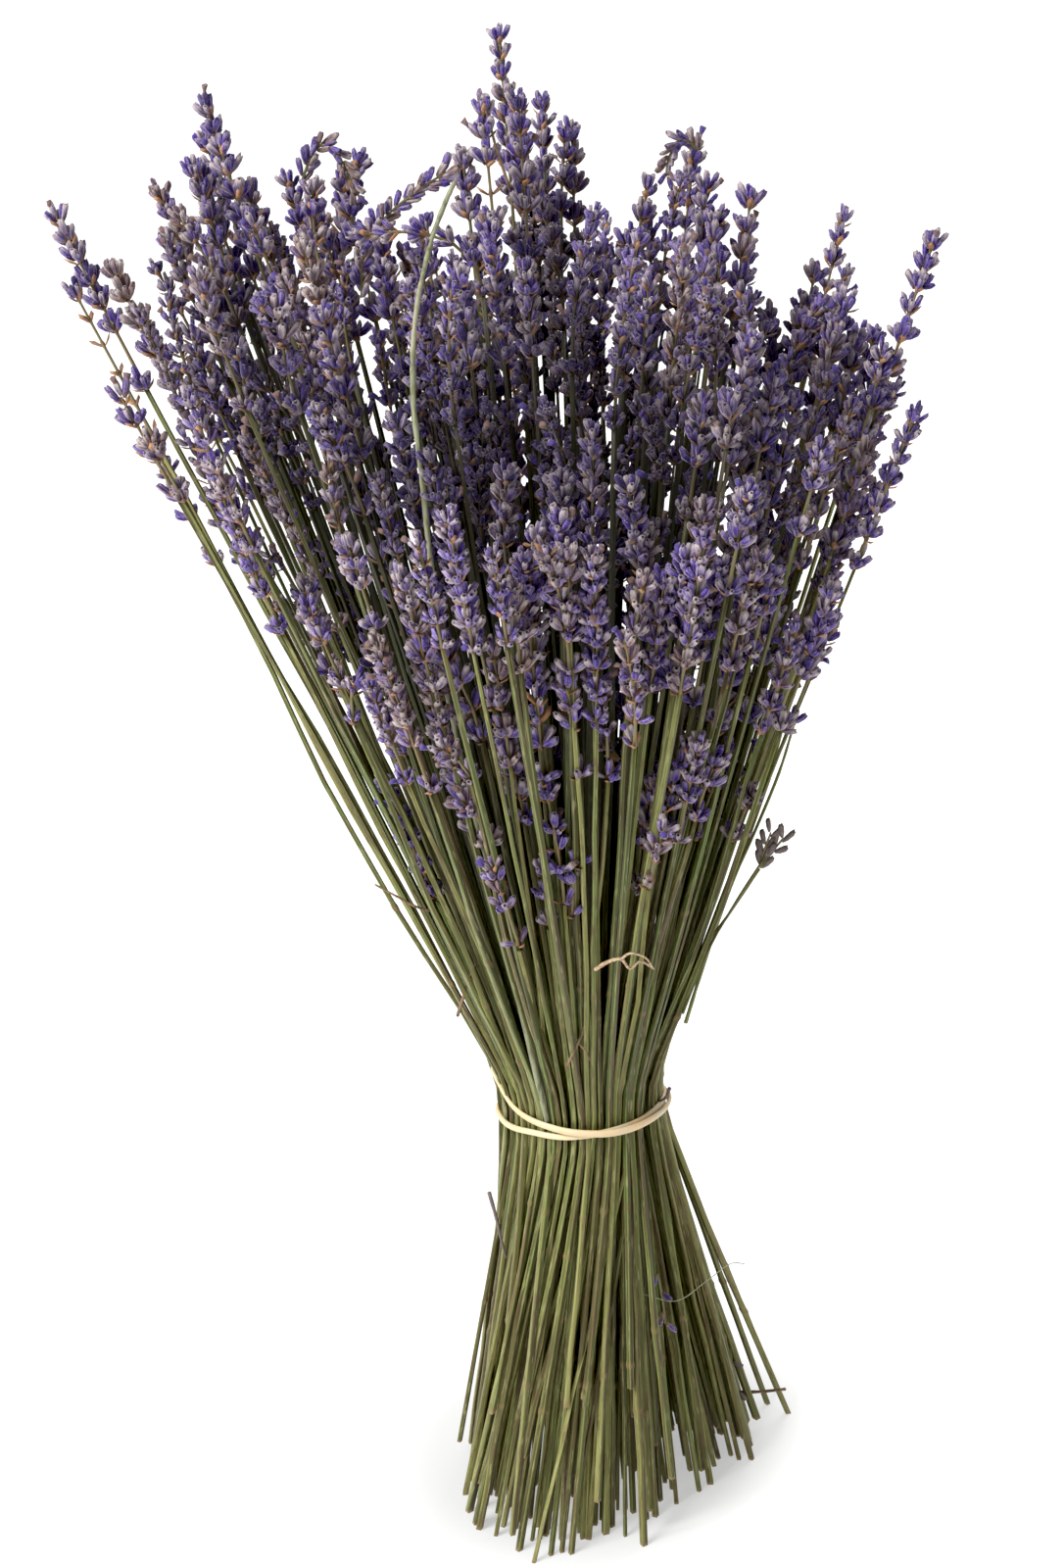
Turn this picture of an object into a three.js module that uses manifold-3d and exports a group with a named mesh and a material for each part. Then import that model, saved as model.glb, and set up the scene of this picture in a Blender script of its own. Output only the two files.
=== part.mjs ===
// A bunch of dried lavender: about ninety cut stems, each with its flower spike, held at the waist by a
// rubber band that is wound round them twice. The bunch stands on its splayed cut ends.
// Lengths are in millimetres, +Z is up, and the origin is on the floor under the middle of the bunch.

import * as THREE from "three";
import Module from "manifold-3d";

const wasm = await Module();
wasm.setup();

// Sizes of the bunch
const AXIS = new THREE.Vector2(7, -4.7);
const WAIST_HEIGHT = 130;
const WAIST_RADIUS = 24.2;
const HELD_HEIGHT = 7;
const SPLAY = 0.0175;
const STEM_SPACING = 3.08;
const SEED = 20;

// Sizes of a stem, which is square, and of the small bars that hold a handful of stems together in the waist
const STEM_SIDE = { foot: 2.5, waist: 2.1, neck: 1.7 };
const BAR_THICKNESS = 0.9;
const BAR_HEIGHT = 7;
const CLEARANCE = 0.35;

// The foot of an outermost stem, by the direction in which it leaves the waist: how far out it stands, and
// how far round the axis it has turned. The directions are in degrees, from +X towards +Y.
const FOOT = [
  { direction: -180, reach: 46, turn: -32 },
  { direction: -120, reach: 51, turn: -32 },
  { direction: -85, reach: 54, turn: -30 },
  { direction: -55, reach: 45, turn: -26 },
  { direction: -35, reach: 37, turn: -10 },
  { direction: -20, reach: 42, turn: 10 },
  { direction: 10, reach: 55, turn: 6 },
  { direction: 60, reach: 50, turn: -12 },
  { direction: 120, reach: 46, turn: -26 },
  { direction: 180, reach: 46, turn: -32 },
];
const FOOT_SCATTER = 1.3;
const SHORT_CUT = { share: 0.16, most: 24 };

// The spikes that draw the outline and the front of the bunch: the tip, measured from the axis at the floor,
// the length of the spike, how many neighbours lean on it, and how far its tip bows out of line
const LEADING_SPIKES = [
  { tip: [-126, 2, 403], length: 54, neighbours: 1 },
  { tip: [-121, -16, 386], length: 46, neighbours: 0 },
  { tip: [-110, -32, 361], length: 34, neighbours: 1 },
  { tip: [-108, 12, 334], length: 38, neighbours: 1 },
  { tip: [-84, 18, 427], length: 58, neighbours: 2 },
  { tip: [-89, 58, 412], length: 52, neighbours: 1 },
  { tip: [-60, 50, 412], length: 54, neighbours: 2, bow: [16, 0, -8] },
  { tip: [-58, -30, 395], length: 58, neighbours: 2 },
  { tip: [-40, 12, 394], length: 46, neighbours: 1 },
  { tip: [-14, -27, 421], length: 44, neighbours: 0, bow: [-34, 0, -26] },
  { tip: [-3, 30, 440], length: 60, neighbours: 1 },
  { tip: [-9, 0, 425], length: 44, neighbours: 1 },
  { tip: [8, 60, 416], length: 56, neighbours: 2 },
  { tip: [52, 70, 401], length: 44, neighbours: 1 },
  { tip: [64, 25, 391], length: 46, neighbours: 2 },
  { tip: [29, 20, 384], length: 38, neighbours: 1 },
  { tip: [83, 40, 366], length: 42, neighbours: 2 },
  { tip: [88, 8, 364], length: 40, neighbours: 1 },
  { tip: [111, -2, 381], length: 48, neighbours: 0 },
  { tip: [101, -30, 340], length: 48, neighbours: 0 },
  { tip: [98, 25, 339], length: 34, neighbours: 1 },
  { tip: [76, -42, 296], length: 46, neighbours: 2 },
  { tip: [-9, -50, 400], length: 54, neighbours: 2 },
  { tip: [40, -48, 392], length: 48, neighbours: 2 },
  { tip: [54, -70, 372], length: 52, neighbours: 2 },
  { tip: [3, -90, 334], length: 52, neighbours: 2 },
  { tip: [39, -94, 329], length: 52, neighbours: 1 },
  { tip: [13, -79, 354], length: 44, neighbours: 1 },
  { tip: [-50, -30, 246], length: 42, neighbours: 0 },
  { tip: [25, -52, 249], length: 40, neighbours: 0 },
  { tip: [37, -62, 263], length: 36, neighbours: 0 },
];

// The spikes between and behind those, which are drawn from a seeded row of numbers
const FILLING_SPIKES = { count: 12, candidates: 300, tipHeight: [300, 376], length: [44, 56], neighbours: 2 };
const NEIGHBOUR = {
  near: 3.1,
  far: 5.6,
  drop: [7, 18],
  neckDrop: [-2, 2],
  beside: 9.4,
  into: 0.8,
  tries: 1000,
};
const LEVEL_STEP = 20;

// A flower spike: whorls of calyxes on a stout axis, whose tip rises a share of a whorl above the last. A
// calyx is a pyramid on one face of the axis.
const WHORL_SPACING = 10.4;
const CALYX = { foot: 4.4, rise: 8.6, reach: 6.3, tipReach: 4.2 };
const SPIKE_AXIS = { low: 1.25, high: 2.35 };
const TIP_SHARE = 0.35;
const NEARBY = 0.02;
const LEADING_SIDES = 5;
const OTHER_SIDES = 4;

// The rubber band: its heights at even steps of its two turns, from its start at the left on round the front
const BAND = { radius: 0.8, sides: 6, steps: 30, lift: 1.9, gap: 0.62 };
const BAND_START = 180;
const BAND_HEIGHTS = [138.3, 131, 128.3, 126, 125.2, 125, 124.9, 127.6, 128.8, 127.7, 129.5, 133.5];
const BAND_CROSSING = { direction: -50, width: 75, slope: 30 };
const ROUND_CORNERS = 12;

const STEM_GROUPS = { innerRadius: 11.5, inner: 4, outer: 11 };

const MATERIALS = {
  stems: new THREE.MeshStandardMaterial({ color: 0x6f7448, roughness: 0.8, metalness: 0 }),
  spikes: new THREE.MeshStandardMaterial({ color: 0x544a7c, roughness: 0.95, metalness: 0 }),
  band: new THREE.MeshStandardMaterial({ color: 0xe6d6ac, roughness: 0.6, metalness: 0 }),
};

// One row of numbers from 0 to 1, the same on every run
let drawn = SEED;
function draw(low = 0, high = 1) {
  drawn = (drawn * 1664525 + 1013904223) % 4294967296;
  return low + (high - low) * (drawn / 4294967296);
}

const radians = THREE.MathUtils.degToRad;
const degrees = THREE.MathUtils.radToDeg;
const mix = THREE.MathUtils.lerp;

// The reach and turn of the foot in one direction, between the two nearest rows of FOOT
function footAt(direction) {
  const next = FOOT.findIndex((row) => row.direction >= direction && row.direction > -180);
  const [a, b] = [FOOT[next - 1], FOOT[next]];
  const share = (direction - a.direction) / (b.direction - a.direction);
  return { reach: mix(a.reach, b.reach, share), turn: mix(a.turn, b.turn, share) };
}

// Where a stem that crosses the waist at this point stands on the floor
function footOf(waist) {
  const direction = degrees(Math.atan2(waist.y, waist.x));
  const { reach, turn } = footAt(direction);
  const out = (reach * waist.length()) / WAIST_RADIUS;
  const angle = radians(direction + turn);
  return new THREE.Vector2(
    out * Math.cos(angle) + draw(-FOOT_SCATTER, FOOT_SCATTER),
    out * Math.sin(angle) + draw(-FOOT_SCATTER, FOOT_SCATTER),
  );
}

// How many times as wide as at the waist the bunch is at a height above it
function widening(height) {
  return 1 + SPLAY * (height - WAIST_HEIGHT - HELD_HEIGHT);
}

// A stem runs straight from its foot to the waist, upright through it, and straight on to the spike's tip
function stemAt(stem, height) {
  const above = height - WAIST_HEIGHT;
  const past = Math.max(Math.abs(above) - HELD_HEIGHT, 0);
  const end = above > 0 ? stem.tip : stem.foot;
  const whole = above > 0 ? stem.tip.z - WAIST_HEIGHT - HELD_HEIGHT : WAIST_HEIGHT - HELD_HEIGHT;
  const share = past / whole;
  return new THREE.Vector2(mix(stem.waist.x, end.x, share), mix(stem.waist.y, end.y, share));
}

function newStem(waist, tip, length, group, leading) {
  const rise = tip.z - WAIST_HEIGHT - HELD_HEIGHT;
  const slant = Math.hypot(rise, tip.x - waist.x, tip.y - waist.y);
  const neck = tip.z - (length * rise) / slant;
  const foot = footOf(waist);
  return { waist, foot, tip, length, group, leading, neck, cut: 0, turn: draw(0, Math.PI / 2) };
}

// Whether a new stem keeps its distance from the others at every level: stems from stems, and spikes from
// the spikes of other groups
function keepsClear(stem, others) {
  return others.every((other) => {
    const top = Math.min(stem.tip.z, other.tip.z);
    for (let height = 0; height <= top; height += LEVEL_STEP) {
      const bothSpikes = height > stem.neck && height > other.neck && stem.group !== other.group;
      const least = bothSpikes ? 2 * CALYX.reach + CLEARANCE : STEM_SPACING;
      if (stemAt(stem, height).distanceTo(stemAt(other, height)) < least) return false;
    }
    return stem.waist.distanceTo(other.waist) >= STEM_SPACING;
  });
}

function leadingStems() {
  return LEADING_SPIKES.map(({ tip, length, neighbours, bow = [0, 0, 0] }, group) => {
    const top = new THREE.Vector3(...tip);
    const waist = new THREE.Vector2(top.x, top.y).divideScalar(widening(top.z));
    waist.clampLength(0, WAIST_RADIUS + 0.6);
    return { ...newStem(waist, top, length, group, true), neighbours, bow: new THREE.Vector3(...bow) };
  });
}

// A stem that leans out as the whole bunch does where it crosses the waist, which is as far from the others
// as any of the drawn points
function fillingStem(stems, group) {
  let best = { apart: 0 };
  for (let tries = 0; tries < FILLING_SPIKES.candidates; tries += 1) {
    const out = WAIST_RADIUS * Math.sqrt(draw());
    const angle = draw(-Math.PI, Math.PI);
    const waist = new THREE.Vector2(out * Math.cos(angle), out * Math.sin(angle));
    const height = draw(...FILLING_SPIKES.tipHeight);
    const tip = new THREE.Vector3(waist.x * widening(height), waist.y * widening(height), height);
    const stem = newStem(waist, tip, draw(...FILLING_SPIKES.length), group, false);
    const apart = Math.min(...stems.map((other) => other.waist.distanceTo(waist)));
    if (apart > best.apart && keepsClear(stem, stems)) best = { apart, stem };
  }
  return best.stem;
}

// A shorter spike that starts level with the leader's and leans on it, on the side of its stem in the waist
function neighbouringStem(leader, stems) {
  for (let tries = 0; tries < NEIGHBOUR.tries; tries += 1) {
    const angle = draw(-Math.PI, Math.PI);
    const side = new THREE.Vector2(Math.cos(angle), Math.sin(angle));
    const waist = leader.waist.clone().addScaledVector(side, draw(NEIGHBOUR.near, NEIGHBOUR.far));
    const height = leader.tip.z - draw(...NEIGHBOUR.drop);
    const beside = stemAt(leader, height).addScaledVector(side, NEIGHBOUR.beside);
    const tip = new THREE.Vector3(beside.x, beside.y, height);
    const share = (height - leader.neck + draw(...NEIGHBOUR.neckDrop)) / (leader.tip.z - leader.neck);
    const stem = newStem(waist, tip, leader.length * share, leader.group, false);
    if (waist.length() < WAIST_RADIUS && keepsClear(stem, stems)) return { ...stem, leader, turn: angle };
  }
  return null;
}

function layOutStems() {
  const stems = leadingStems();
  for (let i = 0; i < FILLING_SPIKES.count; i += 1) {
    stems.push({ ...fillingStem(stems, stems.length), neighbours: FILLING_SPIKES.neighbours });
  }
  for (const leader of [...stems]) {
    for (let i = 0; i < leader.neighbours; i += 1) {
      const stem = neighbouringStem(leader, stems);
      if (stem) stems.push(stem);
    }
  }
  for (const stem of stems) {
    if (draw() < SHORT_CUT.share) stem.cut = draw(4, SHORT_CUT.most);
  }
  return stems;
}

// A closed mesh from its corners and its triangles, as a solid
function solid(corners, triangles) {
  return new wasm.Manifold(
    new wasm.Mesh({
      numProp: 3,
      vertProperties: new Float32Array(corners.flatMap((corner) => corner.toArray())),
      triVerts: new Uint32Array(triangles.flat()),
    }),
  );
}

// The triangles between two rings of corners, where the lower ring starts at corner low and the upper at high
function wall(low, high, sides) {
  const triangles = [];
  for (let k = 0; k < sides; k += 1) {
    const next = (k + 1) % sides;
    triangles.push([low + k, low + next, high + next], [low + k, high + next, high + k]);
  }
  return triangles;
}

// A flat end over a ring of corners, facing up or down
function lid(start, sides, facesUp) {
  const triangles = [];
  for (let k = 1; k < sides - 1; k += 1) {
    triangles.push(facesUp ? [start, start + k, start + k + 1] : [start, start + k + 1, start + k]);
  }
  return triangles;
}

function squareRing(centre, height, side, turn) {
  const corners = [];
  for (let k = 0; k < 4; k += 1) {
    const angle = turn + (k * Math.PI) / 2;
    const out = side / Math.SQRT2;
    corners.push(
      new THREE.Vector3(centre.x + out * Math.cos(angle), centre.y + out * Math.sin(angle), height),
    );
  }
  return corners;
}

// A stem as a square rod with level ends, made wider and longer by the margin where it cuts room for itself
function stemSolid(stem, margin = 0) {
  const levels = [
    [stem.cut - margin, mix(STEM_SIDE.foot, STEM_SIDE.waist, stem.cut / WAIST_HEIGHT)],
    [WAIST_HEIGHT - HELD_HEIGHT, STEM_SIDE.waist],
    [WAIST_HEIGHT + HELD_HEIGHT, STEM_SIDE.waist],
    [stem.neck - CLEARANCE + margin, STEM_SIDE.neck],
  ];
  const corners = levels.flatMap(([height, side]) =>
    squareRing(stemAt(stem, height), height, side + 2 * margin, stem.turn),
  );
  const topRing = corners.length - 4;
  const triangles = [...lid(0, 4, false), ...lid(topRing, 4, true)];
  for (let ring = 0; ring < topRing; ring += 4) triangles.push(...wall(ring, ring + 4, 4));
  return solid(corners, triangles);
}

// The bent line of a spike from its neck to its tip, by the share of the way along it
function spikePoint(stem, share) {
  const foot = stemAt(stem, stem.neck);
  const neck = new THREE.Vector3(foot.x, foot.y, stem.neck);
  const middle = neck.clone().lerp(stem.tip, 0.5);
  const tip = stem.tip.clone().add(stem.bow ?? new THREE.Vector3());
  return neck
    .multiplyScalar((1 - share) ** 2)
    .addScaledVector(middle, 2 * share * (1 - share))
    .addScaledVector(tip, share ** 2);
}

// The two directions across a spike at a share of the way along it. Its lowest ring lies level.
function spikeFrame(stem, share) {
  const along = spikePoint(stem, share + NEARBY).sub(spikePoint(stem, share - NEARBY)).normalize();
  if (share === 0) along.set(0, 0, 1);
  const across = new THREE.Vector3(0, 1, 0).cross(along).normalize();
  return { along, across, over: along.clone().cross(across) };
}

// How far a neighbour's calyx at this height reaches to end inside the leader's axis
function meetingReach(stem, height) {
  return stemAt(stem, height).distanceTo(stemAt(stem.leader, height)) - NEIGHBOUR.into;
}

// A spike: for each whorl a lower and an upper ring, and between them a calyx standing out of every face. In
// a neighbour's second whorl one calyx faces the leader and grows into its axis.
function spikeSolid(stem) {
  const sides = stem.leading ? LEADING_SIDES : OTHER_SIDES;
  const whorls = Math.round(stem.length / WHORL_SPACING);
  const spacing = stem.length / (whorls + TIP_SHARE);
  const corners = [];
  const triangles = [];
  const pointAround = (distance, radius, angle) => {
    const share = distance / stem.length;
    const { across, over } = spikeFrame(stem, share);
    return spikePoint(stem, share)
      .addScaledVector(across, radius * Math.cos(angle))
      .addScaledVector(over, radius * Math.sin(angle));
  };
  const addRing = (distance, radius, turn) => {
    const start = corners.length;
    for (let k = 0; k < sides; k += 1) {
      corners.push(pointAround(distance, radius, turn + (2 * Math.PI * k) / sides));
    }
    return start;
  };
  let below = -1;
  for (let whorl = 0; whorl < whorls; whorl += 1) {
    const distance = whorl * spacing;
    const turn = stem.turn + (whorl * Math.PI) / sides;
    const reach = mix(CALYX.reach, CALYX.tipReach, (whorl / whorls) ** 2);
    const low = addRing(distance, SPIKE_AXIS.low, turn);
    const high = addRing(distance + CALYX.foot, SPIKE_AXIS.high, turn);
    triangles.push(...(below < 0 ? lid(low, sides, false) : wall(below, low, sides)));
    for (let k = 0; k < sides; k += 1) {
      const next = (k + 1) % sides;
      const apex = corners.length;
      const angle = turn + (2 * Math.PI * (k + 0.5)) / sides;
      const meets = stem.leader && whorl === 1 && k === 1;
      const own = reach * draw(0.88, 1.05);
      const out = meets ? meetingReach(stem, stem.neck + distance + CALYX.rise) : own;
      corners.push(pointAround(distance + CALYX.rise, out, angle));
      triangles.push([low + k, low + next, apex], [low + next, high + next, apex]);
      triangles.push([high + next, high + k, apex], [high + k, low + k, apex]);
    }
    below = high;
  }
  const tip = corners.length;
  corners.push(spikePoint(stem, 1));
  for (let k = 0; k < sides; k += 1) triangles.push([below + k, below + ((k + 1) % sides), tip]);
  return solid(corners, triangles);
}

function largestPiece(body) {
  const pieces = body.decompose();
  pieces.sort((a, b) => b.volume() - a.volume());
  return pieces[0];
}

// The spikes of one group, with room left for every stem that passes between their calyxes
function spikeGroupSolid(group, stems) {
  const cut = group.map((spike) => {
    const others = stems.filter((stem) => stem !== spike);
    return others.reduce((left, stem) => left.subtract(stemSolid(stem, CLEARANCE)), spikeSolid(spike));
  });
  return largestPiece(cut.reduce((whole, spike) => whole.add(spike)));
}

// A bar through two stems of a group, inside the waist
function barSolid(a, b) {
  const along = b.waist.clone().sub(a.waist);
  const across = new THREE.Vector2(-along.y, along.x).setLength(BAR_THICKNESS / 2);
  const ends = [
    a.waist.clone().sub(across),
    b.waist.clone().sub(across),
    b.waist.clone().add(across),
    a.waist.clone().add(across),
  ];
  const corners = [-0.5, 0.5].flatMap((share) =>
    ends.map((end) => new THREE.Vector3(end.x, end.y, WAIST_HEIGHT + share * BAR_HEIGHT)),
  );
  return solid(corners, [...lid(0, 4, false), ...lid(4, 4, true), ...wall(0, 4, 4)]);
}

// The shortest set of bars that joins all the stems of a group
function barsBetween(group) {
  const joined = [group[0]];
  const bars = [];
  while (joined.length < group.length) {
    let best = { distance: Infinity };
    for (const from of joined) {
      for (const to of group.filter((stem) => !joined.includes(stem))) {
        const distance = from.waist.distanceTo(to.waist);
        if (distance < best.distance) best = { distance, from, to };
      }
    }
    joined.push(best.to);
    bars.push(barSolid(best.from, best.to));
  }
  return bars;
}

function stemGroupSolid(group) {
  return [...group.map((stem) => stemSolid(stem)), ...barsBetween(group)].reduce((whole, piece) =>
    whole.add(piece),
  );
}

// Handfuls of stems: a few round the middle of the waist, and more round its rim
function stemGroups(stems) {
  const groups = Array.from({ length: STEM_GROUPS.inner + STEM_GROUPS.outer }, () => []);
  for (const stem of stems) {
    const isInner = stem.waist.length() < STEM_GROUPS.innerRadius;
    const count = isInner ? STEM_GROUPS.inner : STEM_GROUPS.outer;
    const turn = (Math.atan2(stem.waist.y, stem.waist.x) + Math.PI) / (2 * Math.PI);
    const sector = Math.min(Math.floor(turn * count), count - 1);
    groups[isInner ? sector : STEM_GROUPS.inner + sector].push(stem);
  }
  return groups;
}

// The points of a flat set that its convex outline goes through, in turn round it
function outlineOf(points) {
  const sorted = [...points].sort((a, b) => a.x - b.x || a.y - b.y);
  const half = (row) => {
    const kept = [];
    for (const point of row) {
      while (kept.length > 1) {
        const [a, b] = kept.slice(-2);
        if ((b.x - a.x) * (point.y - a.y) - (b.y - a.y) * (point.x - a.x) > 0) break;
        kept.pop();
      }
      kept.push(point);
    }
    return kept.slice(0, -1);
  };
  return [...half(sorted), ...half(sorted.reverse())];
}

// How far from the axis the band lies in one direction, stretched round the stems at a height
function bandReach(stems, height, direction) {
  const out = STEM_SIDE.waist / Math.SQRT2 + BAND.radius + BAND.gap;
  const corners = stems.flatMap((stem) => {
    const centre = stemAt(stem, height);
    return Array.from({ length: ROUND_CORNERS }, (_, k) => {
      const angle = (2 * Math.PI * k) / ROUND_CORNERS;
      return new THREE.Vector2(centre.x + out * Math.cos(angle), centre.y + out * Math.sin(angle));
    });
  });
  const ray = new THREE.Vector2(Math.cos(direction), Math.sin(direction));
  const outline = outlineOf(corners);
  for (let k = 0; k < outline.length; k += 1) {
    const from = outline[k];
    const side = outline[(k + 1) % outline.length].clone().sub(from);
    const slope = ray.cross(side);
    const reach = from.cross(side) / slope;
    const share = from.cross(ray) / slope;
    if (reach > 0 && share >= 0 && share < 1) return reach;
  }
  throw new Error("the waist is open");
}

// The middle line of the band: two turns, whose strands cross once, where the second lies over the first
function bandLine(stems) {
  const points = [];
  const steps = 2 * BAND.steps;
  for (let step = 0; step < steps; step += 1) {
    const at = (step / BAND.steps) * (BAND_HEIGHTS.length / 2);
    const index = Math.floor(at);
    const next = (index + 1) % BAND_HEIGHTS.length;
    const height = mix(BAND_HEIGHTS[index], BAND_HEIGHTS[next], THREE.MathUtils.smoothstep(at - index, 0, 1));
    const direction = BAND_START + (360 * step) / BAND.steps;
    const away = Math.abs((((direction - BAND_CROSSING.direction) % 360) + 540) % 360 - 180);
    const within = THREE.MathUtils.smoothstep(BAND_CROSSING.width - away, 0, BAND_CROSSING.slope);
    const over = step < BAND.steps ? within : 0;
    const reach = bandReach(stems, height, radians(direction)) + BAND.lift * over;
    points.push(
      new THREE.Vector3(
        reach * Math.cos(radians(direction)),
        reach * Math.sin(radians(direction)),
        height,
      ),
    );
  }
  return points;
}

// The strand of the band, a tube that closes on itself after two turns
function bandSolid(stems) {
  const line = bandLine(stems);
  const corners = [];
  const triangles = [];
  line.forEach((point, index) => {
    const before = line[(index + line.length - 1) % line.length];
    const after = line[(index + 1) % line.length];
    const along = after.clone().sub(before).normalize();
    const out = new THREE.Vector3(point.x, point.y, 0).normalize();
    const up = along.clone().cross(out).normalize();
    for (let k = 0; k < BAND.sides; k += 1) {
      const angle = (2 * Math.PI * k) / BAND.sides;
      corners.push(
        point
          .clone()
          .addScaledVector(out, BAND.radius * Math.cos(angle))
          .addScaledVector(up, BAND.radius * Math.sin(angle)),
      );
    }
    const ring = index * BAND.sides;
    triangles.push(...wall(ring, ((index + 1) % line.length) * BAND.sides, BAND.sides));
  });
  return solid(corners, triangles);
}

// A solid as a named mesh, standing at the bunch's axis
function meshOf(body, name, material) {
  const { vertProperties, triVerts } = body.getMesh();
  const geometry = new THREE.BufferGeometry();
  geometry.setAttribute("position", new THREE.BufferAttribute(vertProperties, 3));
  geometry.setIndex(new THREE.BufferAttribute(triVerts, 1));
  geometry.computeVertexNormals();
  const mesh = new THREE.Mesh(geometry, material);
  mesh.name = name;
  mesh.position.set(AXIS.x, AXIS.y, 0);
  return mesh;
}

const number = (index) => String(index + 1).padStart(2, "0");

const bunch = new THREE.Group();
bunch.name = "lavender_bunch";
const stems = layOutStems();
stemGroups(stems).forEach((group, index) => {
  bunch.add(meshOf(stemGroupSolid(group), `stems_${number(index)}`, MATERIALS.stems));
});
const spikeGroups = LEADING_SPIKES.length + FILLING_SPIKES.count;
for (let index = 0; index < spikeGroups; index += 1) {
  const group = stems.filter((stem) => stem.group === index);
  bunch.add(meshOf(spikeGroupSolid(group, stems), `spikes_${number(index)}`, MATERIALS.spikes));
}
bunch.add(meshOf(bandSolid(stems), "band", MATERIALS.band));

export default bunch;
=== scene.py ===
"""A bunch of dried lavender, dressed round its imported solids.

The layout of the stems repeats the part's own rule, in millimetres from the bunch's upright axis, so that
every stem and spike grows exactly where its solid stands. More stems are then drawn between those, until
the bunch is as full as a real one. Every surface is worked out as whole arrays: rows of rings, closed by a
point at both ends.
"""

import math

import bpy
import numpy as np
from mathutils import Matrix


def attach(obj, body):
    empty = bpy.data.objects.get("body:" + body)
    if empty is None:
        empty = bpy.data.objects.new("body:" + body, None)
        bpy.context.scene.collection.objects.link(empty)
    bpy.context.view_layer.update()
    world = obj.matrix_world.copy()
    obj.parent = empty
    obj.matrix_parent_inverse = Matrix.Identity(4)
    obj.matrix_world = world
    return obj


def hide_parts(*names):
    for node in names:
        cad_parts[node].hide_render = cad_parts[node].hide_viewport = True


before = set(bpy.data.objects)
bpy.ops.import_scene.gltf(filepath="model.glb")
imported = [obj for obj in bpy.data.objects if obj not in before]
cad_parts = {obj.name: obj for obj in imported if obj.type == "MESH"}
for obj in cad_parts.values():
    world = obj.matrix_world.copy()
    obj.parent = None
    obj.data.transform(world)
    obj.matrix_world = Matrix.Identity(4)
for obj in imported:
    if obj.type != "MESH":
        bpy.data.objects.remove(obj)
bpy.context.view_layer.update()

bl_info = {
    "name": "Dried lavender bunch",
    "version": (1, 0, 0),
    "blender": (4, 5, 0),
    "location": "View3D > Sidebar > Lavender",
    "description": "Makes a tied bunch of dried lavender round its packed solids",
    "category": "Add Mesh",
}

MM = 0.001
BODY = "root"

# The bunch, in millimetres from its axis, as its solids are laid out
AXIS = (7.0, -4.7)
WAIST_HEIGHT = 130.0
WAIST_RADIUS = 24.2
WAIST_MARGIN = 0.6
HELD_HEIGHT = 7.0
SPLAY = 0.0175
STEM_SPACING = 3.08
SEED = 20
CLEARANCE = 0.35
SPIKE_REACH = 6.3
LINE_END = 1.02

# The foot of an outermost stem by its direction at the waist: direction, reach and turn
FOOT = (
    (-180, 46, -32), (-120, 51, -32), (-85, 54, -30), (-55, 45, -26), (-35, 37, -10),
    (-20, 42, 10), (10, 55, 6), (60, 50, -12), (120, 46, -26), (180, 46, -32),
)
FOOT_SCATTER = 1.3
SHORT_CUT = (0.16, 4.0, 24.0)

# The leading spikes: tip, length, and how many shorter spikes lean on each
LEADING = (
    ((-126, 2, 403), 54, 1), ((-121, -16, 386), 46, 0), ((-110, -32, 361), 34, 1),
    ((-108, 12, 334), 38, 1), ((-84, 18, 427), 58, 2), ((-89, 58, 412), 52, 1),
    ((-60, 50, 412), 54, 2), ((-58, -30, 395), 58, 2), ((-40, 12, 394), 46, 1),
    ((-14, -27, 421), 44, 0), ((-3, 30, 440), 60, 1), ((-9, 0, 425), 44, 1),
    ((8, 60, 416), 56, 2), ((52, 70, 401), 44, 1), ((64, 25, 391), 46, 2),
    ((29, 20, 384), 38, 1), ((83, 40, 366), 42, 2), ((88, 8, 364), 40, 1),
    ((111, -2, 381), 48, 0), ((101, -30, 340), 48, 0), ((98, 25, 339), 34, 1),
    ((76, -42, 296), 46, 2), ((-9, -50, 400), 54, 2), ((40, -48, 392), 48, 2),
    ((54, -70, 372), 52, 2), ((3, -90, 334), 52, 2), ((39, -94, 329), 52, 1),
    ((13, -79, 354), 44, 1), ((-50, -30, 246), 42, 0), ((25, -52, 249), 40, 0),
    ((37, -62, 263), 36, 0),
)
# How far the tips of two of them bow out of line
BOWED = {6: (16, 0, -8), 9: (-34, 0, -26)}

# The filling spikes, the spikes that lean on others, the levels where gaps are tested, and the handfuls
FILLING = {"count": 12, "candidates": 300, "tip": (300, 376), "length": (44, 56), "neighbours": 2}
NEIGHBOUR = {"near": 3.1, "far": 5.6, "drop": (7, 18), "neck": (-2, 2), "beside": 9.4, "tries": 1000}
LEVEL_STEP = 20
STEM_GROUPS = {"inner_radius": 11.5, "inner": 4, "outer": 11}

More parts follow.
